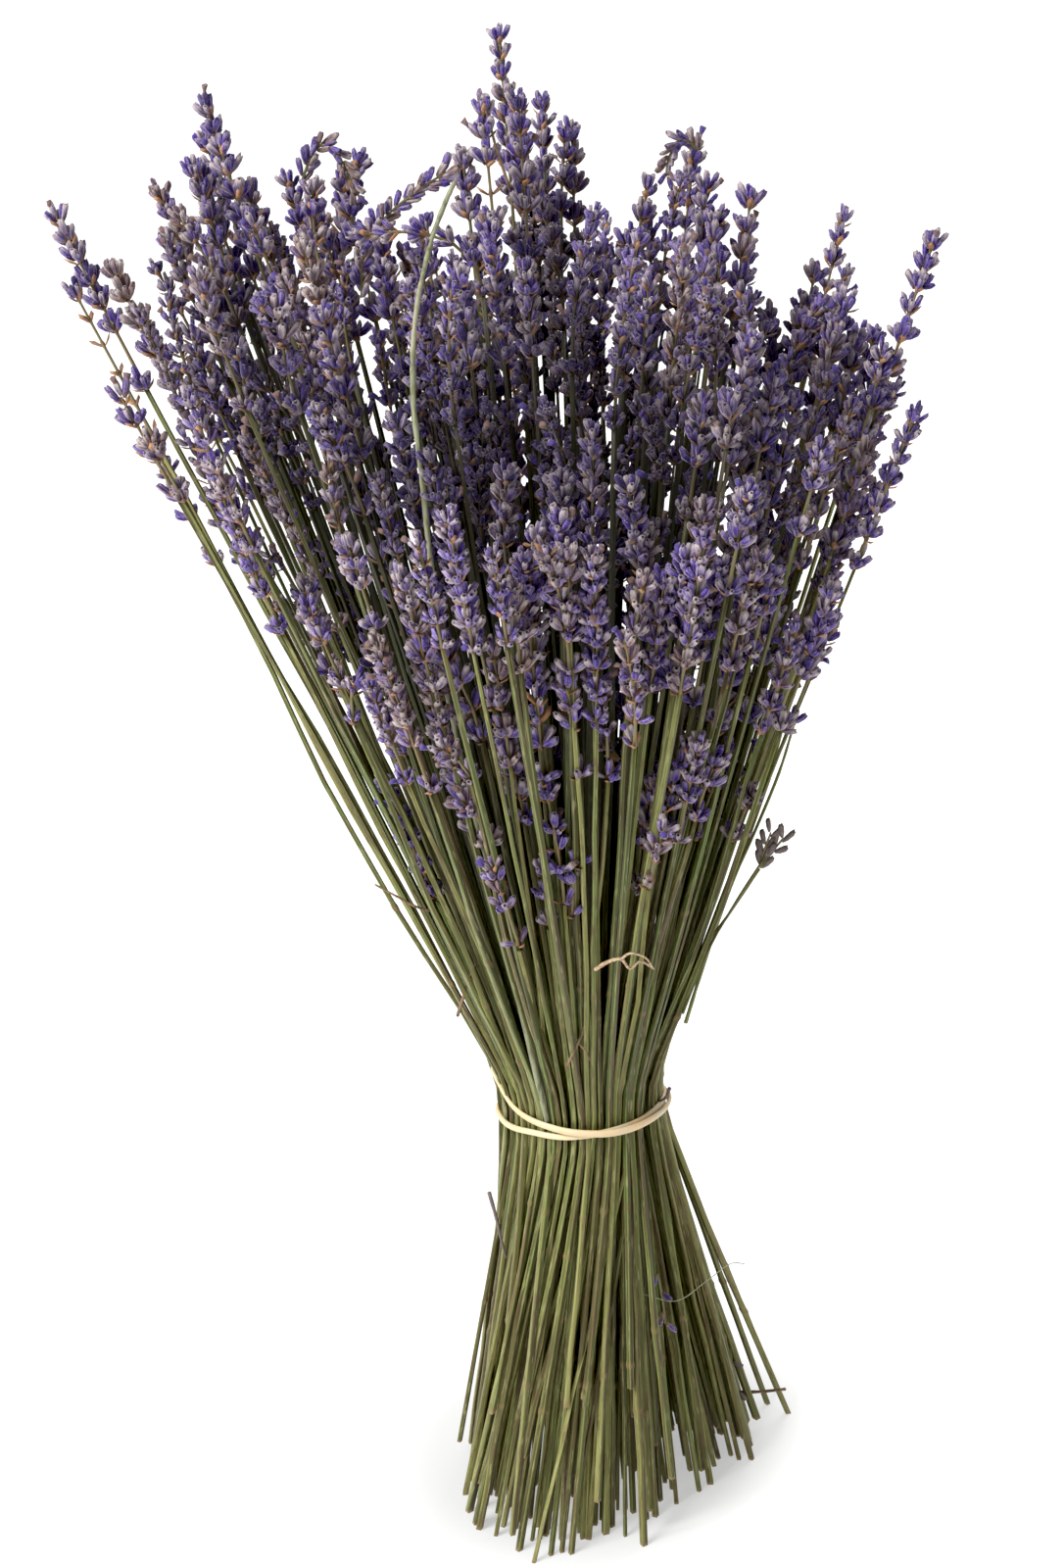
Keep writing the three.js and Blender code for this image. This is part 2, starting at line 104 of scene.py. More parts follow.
# More spikes of the photograph, in front of and beside those: tip, length and share of calyxes kept
EDGE = (
    ((-100, 25, 404), 30, 1.0), ((-88, 0, 401), 33, 1.0), ((-71, -20, 402), 23, 1.0),
    ((-93, -15, 372), 37, 0.6), ((-81, -25, 369), 21, 1.0), ((-95, -20, 346), 31, 0.5),
    ((-86, -35, 335), 41, 0.5), ((-68, -45, 309), 30, 0.5), ((-51, -50, 295), 40, 0.4),
    ((-62, 20, 403), 33, 1.0), ((-82, 35, 373), 36, 1.0), ((-68, -55, 386), 32, 1.0),
    ((-34, 20, 383), 40, 0.8), ((-28, 10, 392), 28, 0.5), ((-87, 10, 379), 30, 1.0),
    ((-55, 30, 393), 37, 1.0), ((32, 30, 396), 40, 0.6), ((55, 25, 387), 34, 1.0),
    ((74, 35, 355), 37, 1.0), ((87, 35, 351), 34, 1.0), ((93, 10, 352), 35, 1.0),
    ((98, -5, 352), 28, 1.0), ((93, 0, 327), 38, 1.0), ((87, -15, 317), 35, 1.0),
    ((49, -75, 358), 15, 1.0), ((82, -15, 298), 35, 1.0), ((63, -40, 296), 42, 1.0),
    ((77, -25, 282), 35, 0.8), ((4, -95, 330), 43, 0.75), ((-6, -88, 331), 40, 0.7),
    ((21, -90, 317), 36, 0.6), ((22, -95, 305), 40, 0.7), ((36, -85, 322), 44, 1.0),
    ((44, -72, 315), 46, 1.0), ((53, -60, 305), 47, 1.0), ((40, -55, 255), 22, 1.0),
    ((54, -20, 233), 19, 1.0), ((25, -66, 243), 27, 0.5), ((-2, -62, 243), 31, 0.3),
    ((-23, -60, 252), 20, 0.7), ((-20, -62, 232), 34, 0.4), ((-8, -56, 233), 29, 0.4),
    ((-20, -80, 314), 38, 0.55), ((-31, -70, 307), 38, 0.55), ((-13, -75, 343), 41, 1.0),
    ((26, -80, 341), 39, 1.0), ((-33, -60, 343), 41, 1.0), ((61, -40, 328), 40, 1.0),
    ((3, -70, 340), 36, 1.0), ((-24, -70, 295), 31, 0.6), ((-15, -75, 296), 39, 0.7),
    ((-6, -72, 284), 32, 0.6), ((5, -78, 288), 34, 0.7), ((-36, -60, 304), 42, 0.5),
    ((-13, -62, 270), 34, 0.5), ((14, -75, 284), 32, 0.7), ((-30, -55, 269), 37, 0.4),
    ((31, -60, 261), 32, 0.7), ((-4, -66, 260), 24, 0.5), ((-42, -50, 317), 38, 0.4),
    ((0, -58, 231), 24, 0.4),
)

# Spikes at the back and the sides that close the view through the heads, in the same form
BACK = (
    ((28, 48, 348), 50, 1.0), ((41, 44, 336), 50, 1.0), ((52, 52, 330), 50, 1.0),
    ((34, 62, 322), 50, 1.0), ((18, 55, 336), 50, 1.0), ((62, 36, 318), 46, 1.0),
    ((46, 60, 304), 46, 1.0), ((4, 60, 330), 50, 1.0), ((14, 40, 316), 46, 1.0),
    ((22, 34, 304), 46, 1.0), ((28, 30, 294), 42, 1.0), ((12, 30, 288), 42, 1.0),
    ((32, 44, 310), 46, 1.0), ((60, 18, 290), 42, 1.0), ((66, 12, 282), 42, 1.0),
    ((58, 30, 298), 42, 1.0), ((48, 24, 284), 42, 1.0), ((36, 20, 272), 40, 1.0),
    ((20, 16, 270), 40, 1.0), ((-50, 20, 318), 44, 0.8), ((-60, 6, 306), 44, 0.8),
    ((-97, 5, 395), 44, 0.9), ((-102, -5, 379), 40, 0.8), ((40, 45, 386), 46, 1.0),
    ((-2, 50, 394), 44, 1.0), ((34, 50, 349), 44, 1.0), ((12, 50, 409), 36, 1.0),
    ((-23, 40, 382), 40, 1.0), ((72, 0, 271), 20, 0.6), ((-89, 0, 354), 36, 0.8),
    ((66, 40, 377), 36, 1.0), ((93, 20, 352), 30, 1.0), ((98, 10, 339), 30, 1.0),
    ((5, 55, 391), 44, 1.0), ((73, 10, 317), 40, 1.0), ((68, 5, 299), 36, 1.0),
    ((-101, 23, 384), 32, 1.0), ((-68, 31, 391), 30, 1.0), ((41, 31, 397), 44, 1.0),
    ((22, 32, 356), 38, 1.0), ((75, 11, 290), 28, 0.8), ((-50, 21, 353), 32, 0.8),
)
BACK_SPACING = 0.95

# The stems that are drawn between all those: a tall set with whole spikes and a low set with short ones
TALL = {
    "count": 235, "tip": (316, 440), "left": 40, "right": 42, "open": 0.02,
    "length": (32, 62), "kept": (0.6, 1.0),
}
LOW = {
    "count": 56, "tip": (218, 330), "left": 60, "right": 60, "open": 0.0,
    "length": (16, 34), "kept": (0.35, 0.6),
}

# The tops of the drawn spikes: how far to the right of the axis, and how high there, in the axis's own plane
CROWN = (
    (-116, 358), (-107, 371), (-98, 389), (-88, 394), (-75, 390), (-62, 378),
    (-51, 357), (-37, 362), (-23, 376), (-9, 387), (5, 399), (18, 398),
    (27, 378), (43, 369), (56, 377), (69, 357), (83, 362), (93, 341),
    (102, 324),
)
CROWN_FALL = 0.2
CROWN_RISE = 14.0
CROWN_SCATTER = 10.0

# The dome over the heads: how far to the front or the back, and how high there
DOME = ((30, 440), (60, 412), (85, 385), (100, 358), (112, 330))

# How the stems that no solid shows are spaced, bowed, spread, scattered and cut
DRAWN_SPACING = 1.3
DRAWN_CANDIDATES = 18
EDGE_SPACING = 1.6
SEARCH_STEP = 0.1
BOW = 12.0
EDGE_BOW = 6.0
TIP_SCATTER = 7.0
EDGE_FOOT_SCATTER = 8.0
MORE_FOOT_SCATTER = 10.0
FOOT_LIMITS = ((-42, -49), (46, 38))
MORE_SPREAD = (0.88, 1.0)
MORE_CUT = (0.24, 2, 34)
MORE_SEED = 77
RIM_INSET = 0.5
RIM_FALL = 0.4
KEPT_RISE = 40

# Painted shade among the heads: how deep it begins, how deep it is darkest, and the heights where it begins
# on stems
SHALLOW = 7.0
BURIED = 42.0
DARKENS_FROM = (150, 210)

# Stems that stray: direction at the waist, foot, and how far up they are cut
STRAY = (
    (5, (60, 18), 0), (16, (54, 24), 0), (-4, (44, 8), 0), (-14, (50, 12), 3),
    (24, (58, 31), 0), (-82, (-50, -14), 52), (-66, (-41, -34), 58), (-52, (-24, -52), 0),
    (-44, (-14, -50), 14), (-72, (-33, -40), 26), (-120, (-44, -34), 66), (-96, (-35, -46), 62),
    (-59, (6, -50), 48), (-53, (12, -41), 7), (-89, (-19, -50), 60), (-114, (-31, -47), 6),
    (-70, (-14, -50), 52), (-138, (-38, -33), 40), (-48, (20, -44), 18),
)
STRAYING = {"inset": 0.7, "spacing": 1.3, "tip": (300, 350), "spread": 0.92, "length": (24, 40)}

# Bent things between and beside the stems: material, radius at both ends, and points along each
TWIGS = (
    ("pale", 0.85, 0.6, (
        (-9, -16, 112), (-10.5, -20, 130), (-12.8, -27, 148.3), (-29.3, -56, 280.4), (-29.8, -60, 303.4),
        (-30.5, -64, 320.5), (-30.7, -66, 336.7), (-31.1, -66, 347), (-31.5, -64, 357.7), (-31.2, -62, 365),
        (-30.4, -60, 373.3), (-28.7, -56, 382.3), (-26.7, -50, 389), (-23.7, -44, 397.1), (-19.8, -40, 404.9),
        (-17.3, -38, 409.1),
    )),
    ("green", 0.6, 0.4, (
        (32, -10, 155), (38, -10, 173), (46.8, -10, 197), (54.7, -8, 213), (62.6, -6, 230), (68, -4, 245),
    )),
    ("green", 0.45, 0.4, ((29, -14, 158), (37, -14, 178), (46.2, -14, 191), (55.2, -14, 204))),
    ("green", 0.4, 0.35, ((31, -16, 161), (39, -16, 180), (47.2, -16, 194), (56.8, -15, 208))),
    ("cream", 0.6, 0.3, (
        (5.6, -49, 192), (9.3, -51, 195), (12.9, -52, 196), (15.2, -51, 192.5), (18.3, -50, 194),
        (22, -47, 190),
    )),
    ("cream", 0.4, 0.25, ((12.9, -52, 196), (15.5, -53, 198), (19.5, -52, 196), (21.5, -50, 192))),
    ("brown", 0.55, 0.4, ((4.9, -36, 177), (2.9, -35, 170), (-0.3, -34.5, 163), (-4.1, -34, 155))),
    ("brown", 0.4, 0.25, ((-0.3, -34.5, 163), (1.8, -35, 160), (3, -35, 157))),
    ("brown", 0.4, 0.3, ((-39, -29, 204.5), (-43.2, -31, 207), (-48.4, -32, 211), (-54.1, -32, 215))),
    ("brown", 0.4, 0.5, ((-28, -22, 184), (-30.5, -22, 179), (-32.7, -22, 173), (-34.5, -22, 168))),
    ("dark", 0.35, 0.65, ((-26, -16, 84), (-27, -17, 90), (-28.2, -17, 99), (-29.6, -17, 107))),
    ("pale", 0.15, 0.12, (
        (14, -26, 74), (24.2, -24, 69.6), (33.4, -20, 73), (41.2, -18, 77.5), (45.8, -16, 76),
    )),
    ("brown", 0.55, 0.45, ((41, 12, 13.2), (50.6, 12, 12.5), (59, 12, 12.8))),
    ("dark", 0.35, 0.6, ((22.8, -8, 128.7), (24.9, -8.5, 130), (26.4, -8, 133))),
    ("brown", 0.4, 0.3, ((-3.2, -2, 401), (-6.1, -2, 412), (-7.6, -2, 420), (-9.6, -2, 425))),
    ("brown", 0.4, 0.3, ((41.6, 8, 34), (42.2, 8, 23), (44.3, 8, 11))),
)
TUBE = {"corners": 7, "uneven": 0.08, "end": 0.3, "along": 0.3}

# Hooked or broken spikes: number of calyxes, whether they are brown, and points along the axis
HOOKS = (
    (30, False, (
        (-60.6, 32, 401), (-57.2, 32, 408), (-53.7, 31, 411), (-50.3, 30, 409), (-47.7, 29, 404),
        (-45.5, 28, 397),
    )),
    (52, False, (
        (-44.7, -10, 376), (-44, -12, 384), (-42, -15, 391), (-37.7, -20, 397), (-32, -25, 402.5),
        (-25.5, -28, 407), (-19.2, -30, 410.5),
    )),
    (18, False, ((50.5, 40, 401), (47.5, 39, 404), (44.5, 38, 403), (42, 37, 399.5), (41.1, 36, 395))),
    (8, True, ((55.6, -14, 204.5), (56.6, -14, 209), (58.9, -14, 215))),
    (8, True, ((55.6, -14, 204.5), (58.6, -14, 208.5), (62.4, -14, 213))),
    (4, False, ((19.1, -22, 78), (20.2, -22, 68), (20.4, -22, 61))),
    (4, True, ((41.6, 7, 33), (42.2, 7, 24), (43.6, 7, 16))),
)
HOOK = {"turn": 0.6, "tilt": (0.5, 0.15), "size": (0.95, 1.2), "brown_size": (0.95, 1.15), "out": 0.4}
HOOK_AXIS = (0.45, 0.3)

# One stem: its rings and corners, its two knots, how it bends and turns, and how its thickness varies
STEM_ROWS = 19
STEM_CORNERS = 8
SECTION = np.where(np.arange(STEM_CORNERS) % 2 == 0, 0.97, 0.68)
RIDGE = (np.arange(STEM_CORNERS) % 2 == 0).astype(float)
END_RING = 1.1
PULL = 0.45
PULL_REACH = 45
KNOTS_AT = ((38, 70), (85, 205))
KNOT_RINGS = np.array((-1.5, 0.0, 1.5))
KNOT_REACH = 1.2
KNOT_SWELL = 0.3
WAIST_EASE = 5.0
SWAY_ABOVE = 2.2
SWAY_BELOW = 0.7
RIPPLE = 0.3
RIPPLE_WAVES = 3.1
STOUT_SCATTER = 0.18
STOUT_LIMITS = (0.62, 1.3)
SELF_TURN = math.pi / 12
SELF_TURN_HEIGHT = 70
STREAK_HEIGHT = 400

# Three grades of calyx: rings along it, its profile, corners round it, and how stout the spike is
FINE = {"rows": (0.06, 0.4, 0.82, 1.0), "profile": (0.5, 0.92, 1.0, 0.66), "corners": 6, "stout": 1.1}
PLAIN = {"rows": (0.1, 0.58, 0.96), "profile": (0.6, 1.0, 0.72), "corners": 5, "stout": 0.97}
INNER = {"rows": (0.22, 0.86), "profile": (0.78, 0.96), "corners": 5, "stout": 0.97}

# The whorls of a spike: the gaps narrow towards its tip, and the lowest whorl is often set apart
WHORL = {
    "scale": (0.87, 1.12),
    "room": 5,
    "gaps": (1.25, 0.78),
    "scatter": (0.92, 1.08),
    "remote": 0.55,
    "remote_gap": (1.5, 2.6),
    "top": 4.6,
    "step": 0.02,
    "turn": 0.2,
    "size": ((0, 0.35, 0.75, 1), (0.94, 1.05, 0.95, 0.8)),
}

# A cluster of calyxes, as azimuth and tilt, and how calyxes are set and formed, with the scatter of each
CLUSTER = np.radians(((-74, 50), (-36, 35), (3, 47), (36, 36), (72, 51), (8, 12)))
CALYX = {
    "kept": 0.82,
    "turn": 0.16,
    "tilt": 0.13,
    "upright": ((0, 0.8, 1), (0.98, 0.84, 0.55)),
    "lift": (-0.3, 1.3),
    "inner_tilt": 0.4,
    "inner_lift": 1.3,
    "out": 0.75,
    "size": 0.09,
    "size_limits": (0.75, 1.25),
    "length_scatter": 0.06,
    "width_scatter": 0.08,
    "twist": 0.7,
    "groove": 0.82,
    "bend": 0.11,
    "mouth_from": 0.9,
    "teeth": 0.045,
    "hollow": (-0.2, 0.04),
}

# The bracts under a whorl: how they are set, their size, how they bend, and half their thickness
BRACT = {
    "turn": 0.25,
    "tilt": (1.15, 0.2),
    "length": (2.3, 3.7),
    "width": (0.8, 1.25),
    "out": 0.5,
    "below": 0.5,
    "bend": 0.5,
    "tip_bend": 0.55,
    "cup": 0.45,
    "thin": 0.16,
}
BRACT_ROWS = np.array((0.12, 0.62))
BRACT_WIDTH = np.array((0.6, 1.0))

# The axis of a spike: how far it runs past its ends and nodes, and how thick it is
RACHIS = {
    "corners": 5,
    "start": 0.6,
    "below": 1.2,
    "above": 1.3,
    "end": 1.2,
    "reach": 1.1,
    "swell": 0.35,
    "size": ((0, 0.12, 1), (1.0, 0.72, 0.42)),
}

# The dried flowers: where they start in a calyx, their length, and how they lean and crumple
COROLLA = {
    "corners": 5,
    "start": 0.86,
    "length": (1.6, 2.9),
    "lean": 0.35,
    "twist": 6,
    "crumple": (0.55, 1.25),
    "below": 0.3,
    "hollow": 0.5,
}
COROLLA_ROWS = np.array((0.0, 0.5, 1.0))
COROLLA_RADII = np.array((0.45, 0.8, 1.05))
OPEN_FLOWERS = 0.045

# How much of a calyx's tone is its spike's, its whorl's and its own
TONE_SHARES = (0.5, 0.25, 0.25)

# Spikes that have lost calyxes: share of bare whorls by stem, and share of calyxes kept by spikes node
BARE_SPIKES = {1: 1.0, 11: 0.5}
SPARSE_GROUPS = {2: 0.55, 3: 0.5, 9: 0.8}

# Seeds of the random rows, and the further sets: name, grades at the rim and inside, spikes pieces, two seeds
STEM_SEED = 100
SPIKE_SEED = 2000
TWIG_SEED = 700
HOOK_SEED = 800
MORE_SETS = (
    ("edge", FINE, FINE, 2, 179, 5560),
    ("tall", PLAIN, INNER, 3, 334, 6645),
    ("low", PLAIN, INNER, 1, 191, 5644),
)
INNER_RADIUS = 17.5

# The values that a mesh carries, the order of the materials on a spike, and the three directions
# deep is how far a place lies among the heads, for the painted shade there
MARKS = ("tone", "along", "ridge", "kind", "end", "east", "north", "deep")
ON_CALYX, ON_BRACT, ON_RACHIS, ON_COROLLA, ON_DEAD = range(5)
EAST, NORTH, UP = np.eye(3)
OFF_LEVEL = 0.01

# The band: heights at even steps of its two turns, from the left on round the front
BAND_START = 180
BAND_HEIGHTS = (138.3, 131, 128.3, 126, 125.2, 125, 124.9, 127.6, 128.8, 127.7, 129.5, 133.5)
BAND_CROSSING = {"direction": -50, "width": 75, "slope": 30}
BAND_LIFT = 1.4
BAND_OUT = 1.75
BAND_STEPS = 96
BAND_CORNERS = 14
OUTLINE_CORNERS = 12
BAND_SMOOTHING = 3
BAND_SQUARENESS = 0.8

# How the band twists and narrows on its way: swing, waves for one radian, and start
BAND_TWISTS = ((0.32, 0.5, 0.6), (0.12, 2.5, 0.0))
BAND_NARROWING = (0.14, 0.5, -0.5)

# The light: what the camera and the bunch see of the room, and the floor and its glow (painted light), in
# metres
WORLD_SEEN = 1.0
WORLD_LIGHT = 0.36
FLOOR_REACH = 6.0
FLOOR_GLOW = 1.0
# The glow is dimmest at the foot and grows over these reaches: a painted contact shadow
PAINTED_SHADOW_GLOW = 0.45
GLOW_BESIDE = 0.86
PAINTED_SHADOW_REACH = (0.042, 0.09)
GLOW_FAR = (0.2, 0.6)
BLACK_LEVEL = 0.006

# The lamps: place, what each faces, side in metres and power in watts
LAMPS = {
    "key": ((-1.35, -0.86, 1.76), (0, 0, 0.25), 1.1, 71),
    "fill": ((1.3, -1.3, 0.9), (0, 0, 0.25), 1.0, 2),
    "low": ((-0.35, -0.6, 0.12), (0, 0, 0.07), 0.5, 1.7),
    "back": ((0.9, 1.5, 1.1), (0, 0, 0.25), 1.2, 16),
}

# The photograph's viewpoint
CAMERA = {"place": (-8.3, -780.0, 526.0), "down": 20.8, "roll": -4.0, "lens": 66.3, "sensor": 36.0, "far": 50}

# The tints that are laid over the main colours, in steps of 0 to 255
TINTS = {
    "fresh stem": (50, 88, 26),
    "straw stem": (114, 107, 55),
    "upper stem": (112, 118, 64),
    "lower stem": (128, 126, 72),
    "light stretch": (172, 168, 104),
    "brown fleck": (90, 66, 44),
    "pale fleck": (156, 150, 108),
    "knot": (120, 98, 62),
    "cut end": (150, 122, 84),
    # Painted shade, laid on stems deep among the heads
    "painted shade stem": (29, 27, 16),
    "sheen": (196, 180, 200),
    "vivid calyx": (80, 48, 172),
    "tan calyx": (146, 112, 84),
    "calyx base": (142, 110, 60),
    "light bract": (188, 138, 92),
    "bract grain": (92, 62, 44),
    # Painted shade, laid on bracts deep among the heads
    "painted shade bract": (42, 32, 26),
    "green rachis": (104, 108, 70),
    "rachis node": (128, 92, 66),
    "rachis grain": (98, 82, 60),
    # Painted shade, laid on axes deep among the heads
    "painted shade rachis": (32, 28, 20),
    "tan corolla": (112, 84, 66),
    "dark corolla": (54, 38, 108),
    "twig grain": (86, 66, 50),
    "stalk grain": (92, 93, 64),
    "straw stalk": (160, 155, 130),
    "strip speck": (142, 112, 84),
    "grey dead twig": (126, 114, 110),
    "yellow rubber": (222, 184, 136),
    "rubber speck": (198, 166, 118),
}


def srgb(red, green, blue):
    """A colour of 0 to 255 steps, as the linear light that shaders mix."""
    steps = np.array([red, green, blue]) / 255
    linear = np.where(steps <= 0.04045, steps / 12.92, ((steps + 0.055) / 1.055) ** 2.4)
    return tuple(float(value) for value in linear)


def tint(name):
    return srgb(*TINTS[name])


def tinted(colour, factor):
    return tuple(min(value * factor, 1.0) for value in colour)


def length_property(name, description, millimetres):
    length = millimetres * MM
    return bpy.props.FloatProperty(name=name, description=description, default=length, unit="LENGTH")


def colour_property(name, description, red, green, blue):
    colour = srgb(red, green, blue)
    return bpy.props.FloatVectorProperty(
        name=name, description=description, size=3, subtype="COLOR", min=0, max=1, default=colour
    )


class BunchSizes(bpy.types.PropertyGroup):
    """The sizes that a user would change."""

    foot_side: length_property("Stem at the cut", "Side of a stem at its cut end", 1.52)
    waist_side: length_property("Stem at the waist", "Side of a stem under the band", 1.42)
    neck_side: length_property("Stem at the neck", "Side of a stem under its spike", 1.08)
    calyx_length: length_property("Calyx length", "Length of one calyx", 4.0)
    calyx_width: length_property("Calyx width", "Width of one calyx", 1.85)
    whorl_spacing: length_property("Whorl spacing", "From one whorl to the next", 7.1)
    band_width: length_property("Band width", "Width of the flat rubber band", 2.5)
    band_thickness: length_property("Band thickness", "Thickness of the rubber band", 1.25)


class BunchColours(bpy.types.PropertyGroup):
    """The colours that a user would change."""

    stem: colour_property("Stem", "Olive green of a stem's sides", 74, 84, 26)
    # The ridge colour is partly the ridges' own paler green, partly a painted highlight
    ridge: colour_property("Ridge", "Paler green of a stem's ridges", 138, 145, 74)
    streak: colour_property("Streak", "Brown of a stem's dead streaks", 92, 68, 42)
    calyx: colour_property("Calyx", "Dusty violet of a calyx", 122, 96, 116)
    # The calyx shade is also laid on as painted shade in grooves, in hollow mouths and deep among the heads
    shade: colour_property("Calyx shade", "Indigo between a calyx's ribs", 28, 19, 46)
    down: colour_property("Calyx down", "Grey lilac down at a calyx's mouth", 192, 178, 172)
    bract: colour_property("Bract", "Papery brown of a bract", 144, 104, 78)
    rachis: colour_property("Rachis", "Straw colour of a spike's axis", 116, 108, 74)
    corolla: colour_property("Corolla", "Faded blue violet of a dried flower", 66, 46, 118)
    twig: colour_property("Twig", "Grey brown of a twig", 126, 102, 76)
    stalk: colour_property("Bleached stalk", "Grey green of the bleached stalk", 132, 135, 104)
    strip: colour_property("Strip", "Cream of a strip of skin", 186, 164, 134)
    dead: colour_property("Dead twig", "Darkest brown of a dead twig", 66, 56, 56)
    band: colour_property("Band", "Cream of the rubber band", 206, 190, 156)
    # The floor's glow is painted light, dimmed near the foot as a painted contact shadow
    floor: colour_property("Floor", "Grey of the floor, under a glow that makes it pale", 158, 158, 157)


def heading(angle):
    return np.array((math.cos(angle), math.sin(angle)))


class Draws:
    """One row of numbers from 0 to 1: each is the last one times a constant plus another, within 32
    bits."""

    def __init__(self, seed):
        self.state = seed

    def __call__(self, low=0.0, high=1.0):
        self.state = (self.state * 1664525 + 1013904223) % 4294967296
        return low + (high - low) * (self.state / 4294967296)

    def either_way(self, reach):
        """Two numbers from minus to plus a reach."""
        return (self(-reach, reach), self(-reach, reach))

    def within(self, radius):
        """A place in a circle, drawn evenly over it."""
        out = radius * math.sqrt(self())
        return out * heading(self(-math.pi, math.pi))


def foot_of(waist, draw, scatter):
    """Where a stem stands: reach and turn run straight from one row of FOOT to the next, and the reach is
    in proportion to the distance from the axis at the waist."""
    direction = math.degrees(math.atan2(waist[1], waist[0]))
    rows = np.array(FOOT, float)
    reach = np.interp(direction, rows[:, 0], rows[:, 1])
    turn = np.interp(direction, rows[:, 0], rows[:, 2])
    out = reach * math.hypot(*waist) / WAIST_RADIUS
    return out * heading(math.radians(direction + turn)) + draw.either_way(scatter)


def widening(height):
    return 1 + SPLAY * (height - WAIST_HEIGHT - HELD_HEIGHT)


class Stem:
    """One stem with its spike: where it crosses the waist, its foot, its tip and its neck. Stems that no
    solid shows have no group."""

    def __init__(self, waist, tip, length, group, draw, bow=(0, 0, 0), scatter=FOOT_SCATTER):
        self.waist = np.array(waist, float)
        self.tip = np.array(tip, float)
        self.length = length
        self.group = group
        self.bow = np.array(bow, float)
        rise = self.tip[2] - WAIST_HEIGHT - HELD_HEIGHT
        slant = math.sqrt(rise**2 + float(np.sum((self.tip[:2] - self.waist) ** 2)))
        self.neck = self.tip[2] - length * rise / slant
        self.foot = foot_of(waist, draw, scatter)
        self.turn = draw(0, math.pi / 2)
        self.cut = 0.0
        self.kept = 1.0

    def at(self, heights, ease=0.0):
        """Places at these heights: straight from the foot to the waist, upright through it, and straight on
        to the tip. With ease the two corners are rounded, as half the sum of the distance past the corner
        and its root with the ease."""
        above = np.asarray(heights, float) - WAIST_HEIGHT
        past = np.abs(above) - HELD_HEIGHT
        past = np.maximum(past, 0) if ease == 0 else (past + np.sqrt(past**2 + ease**2)) / 2
        end = np.where(above[..., None] > 0, self.tip[:2], self.foot)
        whole = np.where(above > 0, self.tip[2] - WAIST_HEIGHT - HELD_HEIGHT, WAIST_HEIGHT - HELD_HEIGHT)
        share = np.minimum(past / whole, LINE_END)[..., None]
        return self.waist + (end - self.waist) * share

    def along_spike(self, shares):
        """The bent line of the spike: the curve of the second order through neck and tip."""
        neck = np.append(self.at(np.array(self.neck)), self.neck)
        middle = (neck + self.tip) / 2
        s = np.asarray(shares, float)[..., None]
        return neck * (1 - s) ** 2 + middle * (2 * s * (1 - s)) + (self.tip + self.bow) * s**2


def keeps_clear(stem, others):
    """Whether a new stem keeps its distance at every level: stems from stems, and spikes from the spikes of
    other groups."""
    if math.isnan(stem.neck):
        return False
    for other in others:
        if np.hypot(*(stem.waist - other.waist)) < STEM_SPACING:
            return False
        top = min(stem.tip[2], other.tip[2])
        levels = np.arange(0, top + 1e-9, LEVEL_STEP)
        both = (levels > stem.neck) & (levels > other.neck) & (stem.group != other.group)
        least = np.where(both, 2 * SPIKE_REACH + CLEARANCE, STEM_SPACING)
        if np.any(np.hypot(*(stem.at(levels) - other.at(levels)).T) < least):
            return False
    return True


def nearest(stems, place):
    """The distance from a place at the waist to the nearest stem."""
    return min(float(np.hypot(*(stem.waist - place))) for stem in stems)


def waist_under(tip):
    """Where a stem with this tip crosses the waist, if it leans out as the bunch does and stays in the
    band."""
    waist = np.array(tip[:2], float) / widening(tip[2])
    out = math.hypot(*waist)
    return waist * (min(out, WAIST_RADIUS + WAIST_MARGIN) / out)


def cut_of(rule, draw):
    """How far up a stem is cut: a share of them between two heights, and the rest at the surface."""
    share, least, most = rule
    return draw(least, most) if draw() < share else 0.0


def filling_stem(stems, group, draw):
    """A stem that leans out as the whole bunch does, as far from the others as any of the drawn points."""
    best, best_apart = None, 0.0
    for _ in range(FILLING["candidates"]):
        waist = draw.within(WAIST_RADIUS)
        height = draw(*FILLING["tip"])
        tip = (*(waist * widening(height)), height)
        stem = Stem(waist, tip, draw(*FILLING["length"]), group, draw)
        apart = nearest(stems, stem.waist)
        if apart > best_apart and keeps_clear(stem, stems):
            best, best_apart = stem, apart
    return best


def neighbouring_stem(leader, stems, draw):
    """A shorter spike that starts level with the leader's and leans on it, on the side of its own stem."""
    for _ in range(NEIGHBOUR["tries"]):
        angle = draw(-math.pi, math.pi)
        side = heading(angle)
        waist = leader.waist + side * draw(NEIGHBOUR["near"], NEIGHBOUR["far"])
        height = leader.tip[2] - draw(*NEIGHBOUR["drop"])
        beside = leader.at(np.array(height)) + side * NEIGHBOUR["beside"]
        share = (height - leader.neck + draw(*NEIGHBOUR["neck"])) / (leader.tip[2] - leader.neck)
        stem = Stem(waist, (*beside, height), leader.length * share, leader.group, draw)
        if math.hypot(*waist) < WAIST_RADIUS and keeps_clear(stem, stems):
            stem.turn = angle
            return stem
    return None


def lay_out_stems():
    """The stems that the solids show, in the same order and from the same row of numbers."""
    draw = Draws(SEED)
    stems = []
    neighbours = []
    for group, (tip, length, count) in enumerate(LEADING):
        stems.append(Stem(waist_under(tip), tip, length, group, draw, BOWED.get(group, (0, 0, 0))))
        neighbours.append(count)
    for _ in range(FILLING["count"]):
        stems.append(filling_stem(stems, len(stems), draw))
        neighbours.append(FILLING["neighbours"])
    for leader, count in zip(list(stems), neighbours):
        for _ in range(count):
            stem = neighbouring_stem(leader, stems, draw)
            if stem:
                stems.append(stem)
    for stem in stems:
        stem.cut = cut_of(SHORT_CUT, draw)
    return stems


